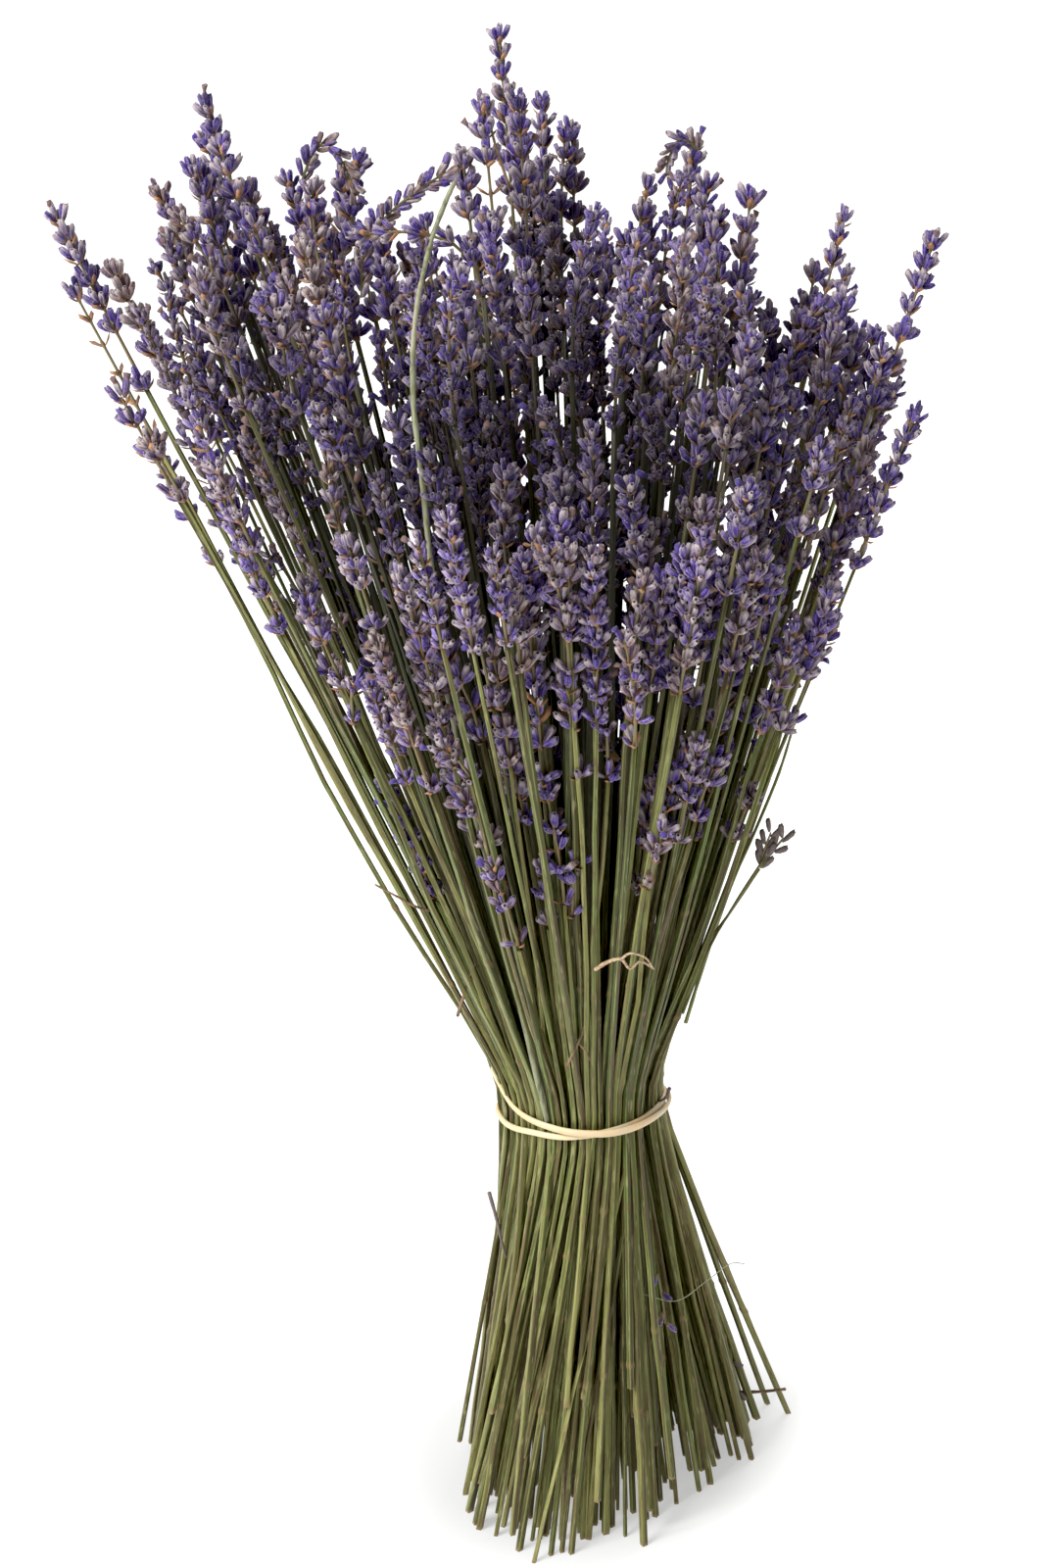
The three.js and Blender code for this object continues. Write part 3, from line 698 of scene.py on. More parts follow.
def free_waist(wanted, stems, draw, spacing):
    """The first free place at the waist, of places drawn ever farther from the wanted one."""
    away = 0.0
    while True:
        place = wanted + away * heading(draw(-math.pi, math.pi))
        if nearest(stems, place) > spacing and math.hypot(*place) < WAIST_RADIUS:
            return place
        away += SEARCH_STEP


def edge_stems(rows, spacing, stems, draw):
    """The further spikes of a table, each over the free place at the waist nearest to its own."""
    added = []
    for tip, length, kept in rows:
        waist = free_waist(waist_under(tip), stems + added, draw, spacing)
        bow = (*draw.either_way(EDGE_BOW), 0)
        stem = Stem(waist, tip, length, None, draw, bow, EDGE_FOOT_SCATTER)
        stem.foot = np.clip(stem.foot, *FOOT_LIMITS)
        stem.kept = kept
        added.append(stem)
    return added


def crown_over(place):
    """How high a drawn spike may end over a place: by the crown line, lower the farther back it stands, and
    never over the dome that falls to the front and to the back."""
    crown = float(np.interp(place[0], *zip(*CROWN))) + CROWN_RISE - CROWN_FALL * place[1]
    return min(crown, float(np.interp(abs(place[1]), *zip(*DOME))))


def emptiest_place(stems, draw):
    """Of some places drawn at the waist, the one farthest from all the stems, or none if all are too
    near."""
    best, best_apart = None, DRAWN_SPACING
    for _ in range(DRAWN_CANDIDATES):
        place = draw.within(WAIST_RADIUS - RIM_INSET)
        apart = nearest(stems, place)
        if apart > best_apart:
            best, best_apart = place, apart
    return best


def drawn_stem(waist, rule, draw):
    """A stem by a rule, over its place at the waist. It ends lower the farther out it stands, so that the
    heads stand as a dome, and it keeps more of its calyxes the higher it ends."""
    left = max(-waist[0] / WAIST_RADIUS, 0)
    right = max(waist[0] / WAIST_RADIUS, 0)
    rim = math.hypot(*waist) / WAIST_RADIUS
    least = rule["tip"][0] + rule["left"] * left
    height = draw(least, rule["tip"][1] - rule["right"] * right)
    height -= RIM_FALL * rim**2 * (height - least)
    lean = draw(*MORE_SPREAD) + rule["open"] * left
    height = min(height, crown_over(waist * widening(height) * lean) - draw(0, CROWN_SCATTER))
    spread = widening(height) * lean
    tip = (*(waist * spread + draw.either_way(TIP_SCATTER)), height)
    bow = (*draw.either_way(BOW), 0)
    stem = Stem(waist, tip, draw(*rule["length"]), None, draw, bow, MORE_FOOT_SCATTER)
    stem.foot = np.clip(stem.foot, *FOOT_LIMITS)
    stem.cut = cut_of(MORE_CUT, draw)
    fewest, all_kept = rule["kept"]
    stem.kept = fewest + (all_kept - fewest) * min((height - rule["tip"][0]) / KEPT_RISE, 1)
    return stem


def drawn_stems(stems, rule, draw):
    """Stems between those, up to the rule's count or until the waist is full."""
    added = []
    while len(added) < rule["count"]:
        waist = emptiest_place(stems + added, draw)
        if waist is None:
            break
        added.append(drawn_stem(waist, rule, draw))
    return added


def stray_stems(stems, draw):
    """Stems with a foot of their own, which cross the others in front or lean out on the right."""
    added = []
    for direction, foot, cut in STRAY:
        wanted = (WAIST_RADIUS - STRAYING["inset"]) * heading(math.radians(direction))
        waist = free_waist(wanted, stems + added, draw, STRAYING["spacing"])
        height = draw(*STRAYING["tip"])
        tip = (*(waist * widening(height) * STRAYING["spread"]), height)
        stem = Stem(waist, tip, draw(*STRAYING["length"]), None, draw)
        stem.foot = np.array(foot, float)
        stem.cut = cut
        added.append(stem)
    return added


def stem_group_of(stem):
    """The index of the handful that a stem belongs to: sectors round the middle and round the rim."""
    inner = math.hypot(*stem.waist) < STEM_GROUPS["inner_radius"]
    count = STEM_GROUPS["inner"] if inner else STEM_GROUPS["outer"]
    turn = (math.atan2(stem.waist[1], stem.waist[0]) + math.pi) / (2 * math.pi)
    sector = min(math.floor(turn * count), count - 1)
    return sector if inner else STEM_GROUPS["inner"] + sector


def linked(name, data):
    """A new object of the scene."""
    made = bpy.data.objects.new(name, data)
    bpy.context.scene.collection.objects.link(made)
    return made


class Shape:
    """Collects closed bodies of several materials into one mesh."""

    def __init__(self):
        self.corners = []
        self.triangles = []
        self.materials = []
        self.marks = {name: [] for name in MARKS}
        self.count = 0

    def add_rows(self, rings, low, high, material=0, mouth=0.0, **marks):
        """Adds closed bodies: rings is bodies x rings x corners x 3, low and high the end points, bodies x
        3. A wall of two triangles a side joins each ring to the next, and a fan closes both ends. An end
        point has the mean mark of its ring, and the high one has the mouth's value more of the end mark."""
        bodies, rows, sides, _ = rings.shape
        size = rows * sides + 2
        side = np.arange(sides)
        after = (side + 1) % sides
        walls = []
        for row in range(rows - 1):
            here = row * sides
            above = here + sides
            walls.append(np.stack((here + side, here + after, above + after), 1))
            walls.append(np.stack((here + side, above + after, above + side), 1))
        bottom = np.stack((np.full(sides, size - 2), after, side), 1)
        last = (rows - 1) * sides
        top = np.stack((np.full(sides, size - 1), last + side, last + after), 1)
        one = np.concatenate(walls + [bottom, top])
        corners = np.concatenate((rings.reshape(bodies, rows * sides, 3), low[:, None], high[:, None]), 1)
        triangles = one[None] + (self.count + size * np.arange(bodies))[:, None, None]
        self.corners.append(corners.reshape(-1, 3))
        self.triangles.append(triangles.reshape(-1, 3))
        self.materials.append(np.full(bodies * len(one), material))
        for name, rows_of_marks in self.marks.items():
            value = np.broadcast_to(marks.get(name, 0.0), (bodies, rows, sides))
            more = mouth if name == "end" else 0.0
            ends = np.stack((value[:, 0].mean(1), value[:, -1].mean(1) + more), 1)
            flat = np.concatenate((value.reshape(bodies, rows * sides), ends), 1)
            rows_of_marks.append(flat.reshape(-1))
        self.count += bodies * size

    def make(self, name, materials):
        """The mesh object, in metres, with its place in its corners."""
        corners = np.concatenate(self.corners) + np.array((*AXIS, 0.0))
        triangles = np.concatenate(self.triangles).astype(np.int32)
        mesh = bpy.data.meshes.new(name)
        mesh.vertices.add(len(corners))
        mesh.vertices.foreach_set("co", (corners * MM).astype(np.float32).ravel())
        mesh.loops.add(triangles.size)
        mesh.loops.foreach_set("vertex_index", triangles.ravel())
        mesh.polygons.add(len(triangles))
        mesh.polygons.foreach_set("loop_start", np.arange(0, triangles.size, 3, dtype=np.int32))
        mesh.polygons.foreach_set("material_index", np.concatenate(self.materials).astype(np.int32))
        mesh.polygons.foreach_set("use_smooth", np.ones(len(triangles), bool))
        for key, rows in self.marks.items():
            layer = mesh.attributes.new(key, "FLOAT", "POINT")
            layer.data.foreach_set("value", np.concatenate(rows).astype(np.float32))
        for material in materials:
            mesh.materials.append(material)
        mesh.update(calc_edges=True)
        return linked(name, mesh)


def painted_shade_depth(places):
    """How deep places lie among the heads, where their colour is darkened as painted shade: from 0 at
    SHALLOW inside their sides and their crown to 1 at BURIED and deeper."""
    x, y, z = np.moveaxis(places, -1, 0)
    side = WAIST_RADIUS * widening(z) - np.hypot(x, y)
    crown = np.interp(x, *zip(*CROWN)) + CROWN_RISE - z
    return np.clip((np.minimum(side, crown) - SHALLOW) / (BURIED - SHALLOW), 0, 1)


def unit(vectors):
    return vectors / np.linalg.norm(vectors, axis=-1, keepdims=True)


def frame_along(line):
    """The direction of a line at its points, and two across it: one square to it and to north, and one square
    to both of those."""
    along = unit(np.gradient(line, axis=-2))
    across = unit(np.cross(NORTH, along))
    return along, across, np.cross(along, across)


def square_to(toward, level):
    """Two directions square to one that points out, and to each other. The other one given is its part square
    to the axis, a little moved, so that the two never lie in line."""
    side = unit(np.cross(toward, level + OFF_LEVEL))
    return side, np.cross(toward, side)


def pointing(along, across, over, azimuth, tilt):
    """Directions out from an axis: along it by the tilt's cosine, and out by the azimuth round it. The
    second result is their part square to the axis."""
    level = np.cos(azimuth)[:, None] * across + np.sin(azimuth)[:, None] * over
    return np.cos(tilt)[:, None] * along + np.sin(tilt)[:, None] * level, level


def round_angles(corners):
    return 2 * np.pi * np.arange(corners) / corners


def rings_round(centres, out, angle, side, front):
    """Rings of corners, each out from its centre by the angle between two directions."""
    return (
        centres[..., None, :]
        + (out * np.cos(angle))[..., None] * side[..., None, :]
        + (out * np.sin(angle))[..., None] * front[..., None, :]
    )


def stem_heights(stem, knots):
    """Rings from the cut to the neck, closer together where the stem turns at the waist, with one more just
    above the cut and three at each knot."""
    share = np.linspace(0, 1, STEM_ROWS)
    straight = stem.cut + (stem.neck - stem.cut) * share
    pull = (straight - WAIST_HEIGHT) * np.exp(-(((straight - WAIST_HEIGHT) / PULL_REACH) ** 2))
    rings = straight - PULL * pull
    return np.sort(np.concatenate((rings, [stem.cut + END_RING], (knots[:, None] + KNOT_RINGS).ravel())))


def sway(share, upper, rng):
    """How far stems stand out of line: a slow wave, zero at foot, waist and neck, with a finer one on it,
    to a side that is drawn for each stem."""
    count = len(share)
    above = rng.normal(0, SWAY_ABOVE, (count, 1))
    below = rng.normal(0, SWAY_BELOW, (count, 1))
    wave = np.sin(np.pi * share) ** 2 * np.where(upper, above, below)
    start = rng.random((count, 1))
    ripple = np.sin(np.pi * share) * RIPPLE * np.sin(2 * np.pi * (RIPPLE_WAVES * share + start))
    side = rng.uniform(0, 2 * np.pi, (count, 1))
    return np.stack(((wave + ripple) * np.cos(side), (wave + ripple) * np.sin(side)), -1)


def add_stems(shape, stems, sizes, seed):
    """Square rods. The side falls in a straight line from cut to waist and from waist to neck, and swells
    at two knots. Each rod turns a little about itself on its way up."""
    rng = np.random.default_rng(seed)
    knots_at = np.stack([rng.uniform(*span, len(stems)) for span in KNOTS_AT], 1)
    heights = np.array([stem_heights(stem, knots) for stem, knots in zip(stems, knots_at)])
    centres = np.array([stem.at(row, WAIST_EASE) for stem, row in zip(stems, heights)])
    upper = heights > WAIST_HEIGHT
    necks = np.array([stem.neck for stem in stems])[:, None]
    share = np.where(upper, (heights - WAIST_HEIGHT) / (necks - WAIST_HEIGHT), heights / WAIST_HEIGHT)
    centres += sway(share, upper, rng)
    stout = rng.normal(1, STOUT_SCATTER, (len(stems), 1)).clip(*STOUT_LIMITS)
    low = np.interp(heights, (0, WAIST_HEIGHT), (sizes.foot_side / MM, sizes.waist_side / MM))
    high = sizes.waist_side / MM + (sizes.neck_side - sizes.waist_side) / MM * share
    knots = np.exp(-((np.abs(heights[:, :, None] - knots_at[:, None]).min(2) / KNOT_REACH) ** 2))
    side = np.where(upper, high, low) * stout * (1 + KNOT_SWELL * knots)
    turn = np.array([stem.turn for stem in stems])[:, None] + SELF_TURN * np.sin(heights / SELF_TURN_HEIGHT)
    out = (side / math.sqrt(2))[:, :, None] * SECTION
    ends = np.concatenate((centres, heights[..., None]), -1)
    around = round_angles(STEM_CORNERS)
    rings = rings_round(ends, out, turn[:, :, None] + around, EAST, NORTH)
    # Painted shade: stems deep among the heads are darkened, from these heights up
    bare_to, dark_from = DARKENS_FROM
    deep = painted_shade_depth(ends) * np.clip((heights - bare_to) / (dark_from - bare_to), 0, 1)
    shape.add_rows(
        rings,
        ends[:, 0],
        ends[:, -1],
        deep=deep[:, :, None],
        tone=rng.random((len(stems), 1, 1)),
        along=(heights / STREAK_HEIGHT)[:, :, None],
        ridge=RIDGE[None, None, :],
        kind=knots[:, :, None],
        end=(np.arange(heights.shape[1]) == 0).astype(float)[None, :, None],
        east=out * np.cos(around),
        north=out * np.sin(around),
    )


class Whorls:
    """The nodes of one spike and what grows on them, as arrays."""

    def __init__(self, stem, sizes, rng, bare, stout):
        self.stem = stem
        scale = stout * rng.uniform(*WHORL["scale"])
        spacing = sizes.whorl_spacing / MM * scale
        self.count = max(int(round((stem.length - WHORL["room"]) / spacing)), 2) + 1
        gaps = np.linspace(*WHORL["gaps"], self.count - 1) * rng.uniform(*WHORL["scatter"], self.count - 1)
        if rng.random() < WHORL["remote"]:
            gaps[0] *= rng.uniform(*WHORL["remote_gap"])
        places = np.concatenate(([0], np.cumsum(gaps)))
        self.shares = places / places[-1] * (1 - WHORL["top"] / stem.length)
        self.places = stem.along_spike(self.shares)
        above = stem.along_spike(self.shares + WHORL["step"])
        self.along = unit(above - stem.along_spike(self.shares - WHORL["step"]))
        self.across = unit(np.cross(NORTH, self.along))
        self.over = np.cross(self.along, self.across)
        self.turns = stem.turn + np.pi / 2 * np.arange(self.count) + rng.normal(0, WHORL["turn"], self.count)
        self.full = rng.random(self.count) >= bare
        self.full[-1] = True
        self.size = scale * np.interp(self.shares, *WHORL["size"])

    def direction(self, index, azimuth, tilt):
        """Directions out from nodes by azimuth and tilt, and their part square to the axis."""
        return pointing(self.along[index], self.across[index], self.over[index], azimuth, tilt)


def calyxes_of(whorls, rng):
    """Base, direction, sideways direction, size and node of every calyx of a spike. Two clusters of six
    face away from each other at each node, and a share of them is missing."""
    index = np.repeat(np.arange(whorls.count), 2 * len(CLUSTER))
    azimuth = np.tile(np.concatenate((CLUSTER[:, 0], CLUSTER[:, 0] + np.pi)), whorls.count)
    tilt = np.tile(np.tile(CLUSTER[:, 1], 2), whorls.count)
    azimuth = azimuth + whorls.turns[index] + rng.normal(0, CALYX["turn"], len(index))
    upright = np.interp(whorls.shares[index], *CALYX["upright"])
    tilt = tilt * upright + rng.normal(0, CALYX["tilt"], len(index))
    keep = (rng.random(len(index)) < CALYX["kept"] * whorls.stem.kept) & whorls.full[index]
    index, azimuth, tilt = index[keep], azimuth[keep], tilt[keep]
    toward, level = whorls.direction(index, azimuth, tilt)
    raised = np.where(tilt < CALYX["inner_tilt"], CALYX["inner_lift"], 0.0)
    lift = rng.uniform(*CALYX["lift"], len(index)) + raised
    base = whorls.places[index] + whorls.along[index] * lift[:, None] + level * CALYX["out"]
    size = whorls.size[index] * rng.normal(1, CALYX["size"], len(index)).clip(*CALYX["size_limits"])
    return base, toward, level, size, index


def add_calyxes(shape, places, tone, sizes, rng, grade, material=ON_CALYX):
    """Ribbed barrels, whose places hold base, direction, sideways direction and size. The width follows the
    profile, every second corner is drawn in between two ribs, and the barrel bends back towards upright by
    a share of the square of the distance along it."""
    base, toward, level, size = places
    count = len(base)
    rows, profile, corners = np.array(grade["rows"]), np.array(grade["profile"]), grade["corners"]
    length = sizes.calyx_length / MM * size * rng.normal(1, CALYX["length_scatter"], count)
    width = sizes.calyx_width / MM / 2 * size * rng.normal(1, CALYX["width_scatter"], count)
    side, front = square_to(toward, level)
    angle = round_angles(corners) + rng.random((count, 1)) * CALYX["twist"]
    rib = np.where(np.arange(corners) % 2 == 0, 1.0, CALYX["groove"])
    out = width[:, None, None] * profile[None, :, None] * rib[None, None, :]
    bend = (CALYX["bend"] * length[:, None] * rows**2)[..., None]
    centres = base[:, None] + toward[:, None] * (length[:, None] * rows[None, :])[..., None] + UP * bend
    mouth_row = rows > CALYX["mouth_from"]
    teeth = rng.normal(0, CALYX["teeth"], (count, 1, corners)) * mouth_row[None, :, None]
    rings = rings_round(centres, out, angle[:, None], side[:, None], front[:, None])
    rings += (length[:, None, None] * teeth)[..., None] * toward[:, None, None]
    hollow = rng.uniform(*CALYX["hollow"], count)
    shape.add_rows(
        rings,
        base,
        centres[:, -1] + toward * (length * hollow)[:, None],
        material,
        # The end mark at the mouth carries the painted shade of its hollow
        mouth=1.0,
        tone=tone[:, None, None],
        along=rows[None, :, None],
        ridge=(rib == 1.0).astype(float)[None, None, :],
        kind=rng.random((count, 1, 1)),
        # How deep the calyx lies among the heads, for painted shade
        deep=painted_shade_depth(base)[:, None, None],
        east=np.cos(angle)[:, None, :],
        north=np.sin(angle)[:, None, :],
    )


def add_bracts(shape, whorls, rng):
    """Two papery bracts under each whorl: pointed leaves 0.3 mm thick that bend up round the calyxes."""
    index = np.repeat(np.arange(whorls.count), 2)
    turned = rng.normal(0, BRACT["turn"], len(index))
    azimuth = whorls.turns[index] + np.tile((0.0, np.pi), whorls.count) + turned
    toward, level = whorls.direction(index, azimuth, rng.normal(*BRACT["tilt"], len(index)))
    length = rng.uniform(*BRACT["length"], len(index)) * whorls.size[index]
    width = rng.uniform(*BRACT["width"], len(index)) * whorls.size[index]
    along = whorls.along[index]
    side = unit(np.cross(along, level))
    face = unit(np.cross(toward, side))
    base = whorls.places[index] + level * BRACT["out"] - along * BRACT["below"]
    forward = (length[:, None] * BRACT_ROWS)[..., None]
    bend = (BRACT["bend"] * length[:, None] * BRACT_ROWS**2)[..., None]
    centres = base[:, None] + toward[:, None] * forward + along[:, None] * bend
    aside = side[:, None] * (width[:, None] * BRACT_WIDTH)[..., None]
    cup = along[:, None] * (BRACT["cup"] * width[:, None] * BRACT_WIDTH)[..., None]
    thin = face[:, None] * BRACT["thin"]
    rings = np.stack((centres + aside + cup, centres + thin, centres - aside + cup, centres - thin), 2)
    tips = base + toward * length[:, None] + along * (BRACT["tip_bend"] * length)[:, None]
    marks = {"tone": rng.random((len(index), 1, 1)), "along": BRACT_ROWS[None, :, None]}
    # deep is how far each bract lies among the heads, for painted shade
    shape.add_rows(rings, base, tips, ON_BRACT, deep=painted_shade_depth(base)[:, None, None], **marks)


def add_rachis(shape, whorls, sizes, rng):
    """The axis of a spike: a thin rod from the neck to the tip, swollen at every node."""
    stem = whorls.stem
    nodes = whorls.shares
    below = np.clip(nodes - RACHIS["below"] / stem.length, 0, 1)
    above = nodes + RACHIS["above"] / stem.length
    shares = np.unique(np.concatenate(([0], below, nodes, above)))
    line = stem.along_spike(shares)
    _, across, over = frame_along(line)
    away = np.abs(shares[:, None] - nodes[None, :]).min(1) * stem.length
    near = np.exp(-((away / RACHIS["reach"]) ** 2))
    radius = sizes.neck_side / MM / 2 * np.interp(shares, *RACHIS["size"]) + RACHIS["swell"] * near
    rings = rings_round(line, radius[:, None], round_angles(RACHIS["corners"]), across, over)
    shape.add_rows(
        rings[None],
        stem.along_spike(np.array(-RACHIS["start"] / stem.length))[None],
        stem.along_spike(np.array(shares[-1] + RACHIS["end"] / stem.length))[None],
        ON_RACHIS,
        tone=np.full((1, 1, 1), rng.random()),
        along=shares[None, :, None],
        ridge=near[None, :, None],
        # How deep the axis lies among the heads, for painted shade
        deep=painted_shade_depth(line)[None, :, None],
    )


def add_corollas(shape, places, sizes, rng):
    """Dried flowers that still stand out of some calyxes: crumpled funnels that widen from the mouth on."""
    base, toward, level, size = places
    count = len(base)
    corners = COROLLA["corners"]
    start = sizes.calyx_length / MM * size * COROLLA["start"]
    length = rng.uniform(*COROLLA["length"], count)
    side, front = square_to(toward, level)
    lean = rng.normal(0, COROLLA["lean"], (count, 3))
    centres = base[:, None] + toward[:, None] * (start[:, None] + length[:, None] * COROLLA_ROWS)[..., None]
    centres = centres + lean[:, None] * (COROLLA_ROWS**2)[None, :, None]
    angle = round_angles(corners) + rng.random((count, 1)) * COROLLA["twist"]
    crumple = rng.uniform(*COROLLA["crumple"], (count, len(COROLLA_ROWS), corners))
    out = COROLLA_RADII[None, :, None] * crumple
    shape.add_rows(
        rings_round(centres, out, angle[:, None], side[:, None], front[:, None]),
        centres[:, 0] - toward * COROLLA["below"],
        centres[:, -1] - toward * COROLLA["hollow"],
        ON_COROLLA,
        tone=rng.random((count, 1, 1)),
        along=COROLLA_ROWS[None, :, None],
    )


def add_spike(shape, stem, sizes, seed, grade, bare=0.0):
    """One whole flower spike: its axis, whorls of calyxes, bracts and a few dried flowers."""
    rng = np.random.default_rng(seed)
    whorls = Whorls(stem, sizes, rng, bare, grade["stout"])
    *places, index = calyxes_of(whorls, rng)
    of_spike, of_whorl, of_calyx = TONE_SHARES
    tone = rng.random() * of_spike + rng.random(whorls.count)[index] * of_whorl
    tone = tone + rng.random(len(index)) * of_calyx
    add_calyxes(shape, places, tone, sizes, rng, grade)
    add_bracts(shape, whorls, rng)
    add_rachis(shape, whorls, sizes, rng)
    flowering = rng.random(len(index)) < OPEN_FLOWERS
    if flowering.any():
        add_corollas(shape, [values[flowering] for values in places], sizes, rng)


def smooth_line(points, steps=5):
    """A line through all the points: each stretch is the cubic that runs, at both of its ends, in the
    direction between the neighbours of that end."""
    row = np.array(points, float)
    row = np.concatenate((2 * row[:1] - row[1:2], row, 2 * row[-1:] - row[-2:-1]))
    s = np.linspace(0, 1, steps, endpoint=False)[:, None]
    parts = []
    for a, b, c, d in zip(row, row[1:], row[2:], row[3:]):
        bend = (c - a) * s + (2 * a - 5 * b + 4 * c - d) * s**2
        parts.append(b + (bend + (3 * b - a - 3 * c + d) * s**3) / 2)
    parts.append(row[-2:-1])
    return np.concatenate(parts)


def add_tube(shape, points, start, end, material, seed):
    """A thin round rod along a smooth line, a little uneven."""
    rng = np.random.default_rng(seed)
    line = smooth_line(points)
    along, across, over = frame_along(line)
    radius = np.linspace(start, end, len(line)) * rng.normal(1, TUBE["uneven"], len(line))
    rings = rings_round(line, radius[:, None], round_angles(TUBE["corners"]), across, over)
    low = line[0] - along[0] * TUBE["end"]
    high = line[-1] + along[-1] * TUBE["end"]
    tone = np.full((1, 1, 1), rng.random())
    shape.add_rows(rings[None], low[None], high[None], material, tone=tone, along=TUBE["along"])


def add_hook(shape, points, count, brown, sizes, seed):
    """Calyxes along a bent axis, in pairs, which point on along it and out."""
    rng = np.random.default_rng(seed)
    line = smooth_line(points)
    along, across, over = frame_along(line)
    at = np.linspace(0, len(line) - 1, count).round().astype(int)
    azimuth = np.pi * np.arange(count) + rng.normal(0, HOOK["turn"], count)
    tilt = rng.normal(*HOOK["tilt"], count)
    toward, level = pointing(along[at], across[at], over[at], azimuth, tilt)
    size = rng.uniform(*HOOK["brown_size" if brown else "size"], count)
    tone = rng.random(count)
    places = (line[at] + level * HOOK["out"], toward, level, size)
    add_calyxes(shape, places, tone, sizes, rng, FINE, ON_DEAD if brown else ON_CALYX)
    add_tube(shape, points, *HOOK_AXIS, ON_RACHIS, seed)


def outline_of(points):
    """The convex outline of flat points, by the monotone chain: in turn, kept while it turns left."""
    rows = sorted(map(tuple, points))

    def half(row):
        kept = []
        for point in row:
            while len(kept) > 1:
                a, b = kept[-2:]
                if (b[0] - a[0]) * (point[1] - a[1]) - (b[1] - a[1]) * (point[0] - a[0]) > 0:
                    break
                kept.pop()
            kept.append(point)
        return kept[:-1]

    return np.array(half(rows) + half(rows[::-1]))


def band_reach(stems, height, direction):
    """Where a ray from the axis leaves the convex outline of the stems, each widened to the band's
    middle."""
    around = round_angles(OUTLINE_CORNERS)
    circle = BAND_OUT * np.stack((np.cos(around), np.sin(around)), 1)
    centres = np.array([stem.at(np.array(height)) for stem in stems])
    outline = outline_of((centres[:, None] + circle).reshape(-1, 2))
    ray = heading(direction)
    sides = np.roll(outline, -1, 0) - outline
    slope = ray[0] * sides[:, 1] - ray[1] * sides[:, 0]
    reach = (outline[:, 0] * sides[:, 1] - outline[:, 1] * sides[:, 0]) / slope
    share = (outline[:, 0] * ray[1] - outline[:, 1] * ray[0]) / slope
    return float(reach[(reach > 0) & (share >= 0) & (share < 1)][0])


def eased(share):
    return share * share * (3 - 2 * share)


def band_line(stems):
    """Two turns round the stems. Between two heights the band eases in and out, and where the strands
    cross, the first is lifted over the second."""
    points = []
    for step in range(2 * BAND_STEPS):
        at = step / BAND_STEPS * len(BAND_HEIGHTS) / 2
        low = BAND_HEIGHTS[int(at)]
        height = low + (BAND_HEIGHTS[(int(at) + 1) % len(BAND_HEIGHTS)] - low) * eased(at - int(at))
        direction = BAND_START + 360 * step / BAND_STEPS
        away = abs((direction - BAND_CROSSING["direction"] + 180) % 360 - 180)
        over = min(max((BAND_CROSSING["width"] - away) / BAND_CROSSING["slope"], 0), 1)
        lift = BAND_LIFT * eased(over) if step < BAND_STEPS else 0
        reach = band_reach(stems, height, math.radians(direction)) + lift
        points.append((*(reach * heading(math.radians(direction))), height))
    return np.array(points)


def flattened(values):
    """A round wave made squarer, for a flat section with round corners."""
    return np.sign(values) * np.abs(values) ** BAND_SQUARENESS


def band_mesh(name, stems, sizes, material):
    """A flat rubber band: a rounded flat section carried twice round, twisted a little as it goes."""
    line = band_line(stems)
    for _ in range(BAND_SMOOTHING):
        line = (np.roll(line, 1, 0) + 2 * line + np.roll(line, -1, 0)) / 4
    along = unit(np.roll(line, -1, 0) - np.roll(line, 1, 0))
    out = unit(line * (EAST + NORTH))
    up = unit(np.cross(along, out))
    turn = np.linspace(0, 4 * np.pi, len(line), endpoint=False)
    twist = sum(swing * np.sin(waves * turn + start) for swing, waves, start in BAND_TWISTS)[:, None]
    angle = round_angles(BAND_CORNERS)
    thick = sizes.band_thickness / MM / 2 * flattened(np.cos(angle))
    wide = sizes.band_width / MM / 2 * flattened(np.sin(angle))
    swing, waves, start = BAND_NARROWING
    width = 1 - swing + swing * np.cos(waves * turn + start)
    outward = out * np.cos(twist) + up * np.sin(twist)
    upward = up * np.cos(twist) - out * np.sin(twist)
    rings = (
        line[:, None]
        + thick[None, :, None] * outward[:, None]
        + (width[:, None] * wide[None, :])[..., None] * upward[:, None]
    )
    corners = (rings.reshape(-1, 3) + np.array((*AXIS, 0.0))) * MM
    row, side = np.meshgrid(np.arange(len(line)) * BAND_CORNERS, np.arange(BAND_CORNERS), indexing="ij")
    next_row, next_side = (row + BAND_CORNERS) % len(corners), (side + 1) % BAND_CORNERS
    faces = np.stack((row + side, row + next_side, next_row + next_side, next_row + side), -1).reshape(-1, 4)
    mesh = bpy.data.meshes.new(name)
    mesh.from_pydata(corners.tolist(), [], faces.tolist())
    mesh.polygons.foreach_set("use_smooth", np.ones(len(faces), bool))
    mesh.materials.append(material)
    return linked(name, mesh)


class Field:
    """A value that varies over a surface. Arithmetic on it adds the Math nodes."""

    def __init__(self, surface, socket):
        self.surface = surface
        self.socket = socket

    def _math(self, operation, first, second):
        return self.surface.node("ShaderNodeMath", {"operation": operation}, {0: first, 1: second})

    def __add__(self, other):
        return self._math("ADD", self, other)

    def __radd__(self, other):
        return self._math("ADD", other, self)

    def __sub__(self, other):
        return self._math("SUBTRACT", self, other)

    def __rsub__(self, other):
        return self._math("SUBTRACT", other, self)

    def __mul__(self, other):
        return self._math("MULTIPLY", self, other)

    def __rmul__(self, other):
        return self._math("MULTIPLY", other, self)

    def __pow__(self, other):
        return self._math("POWER", self, other)


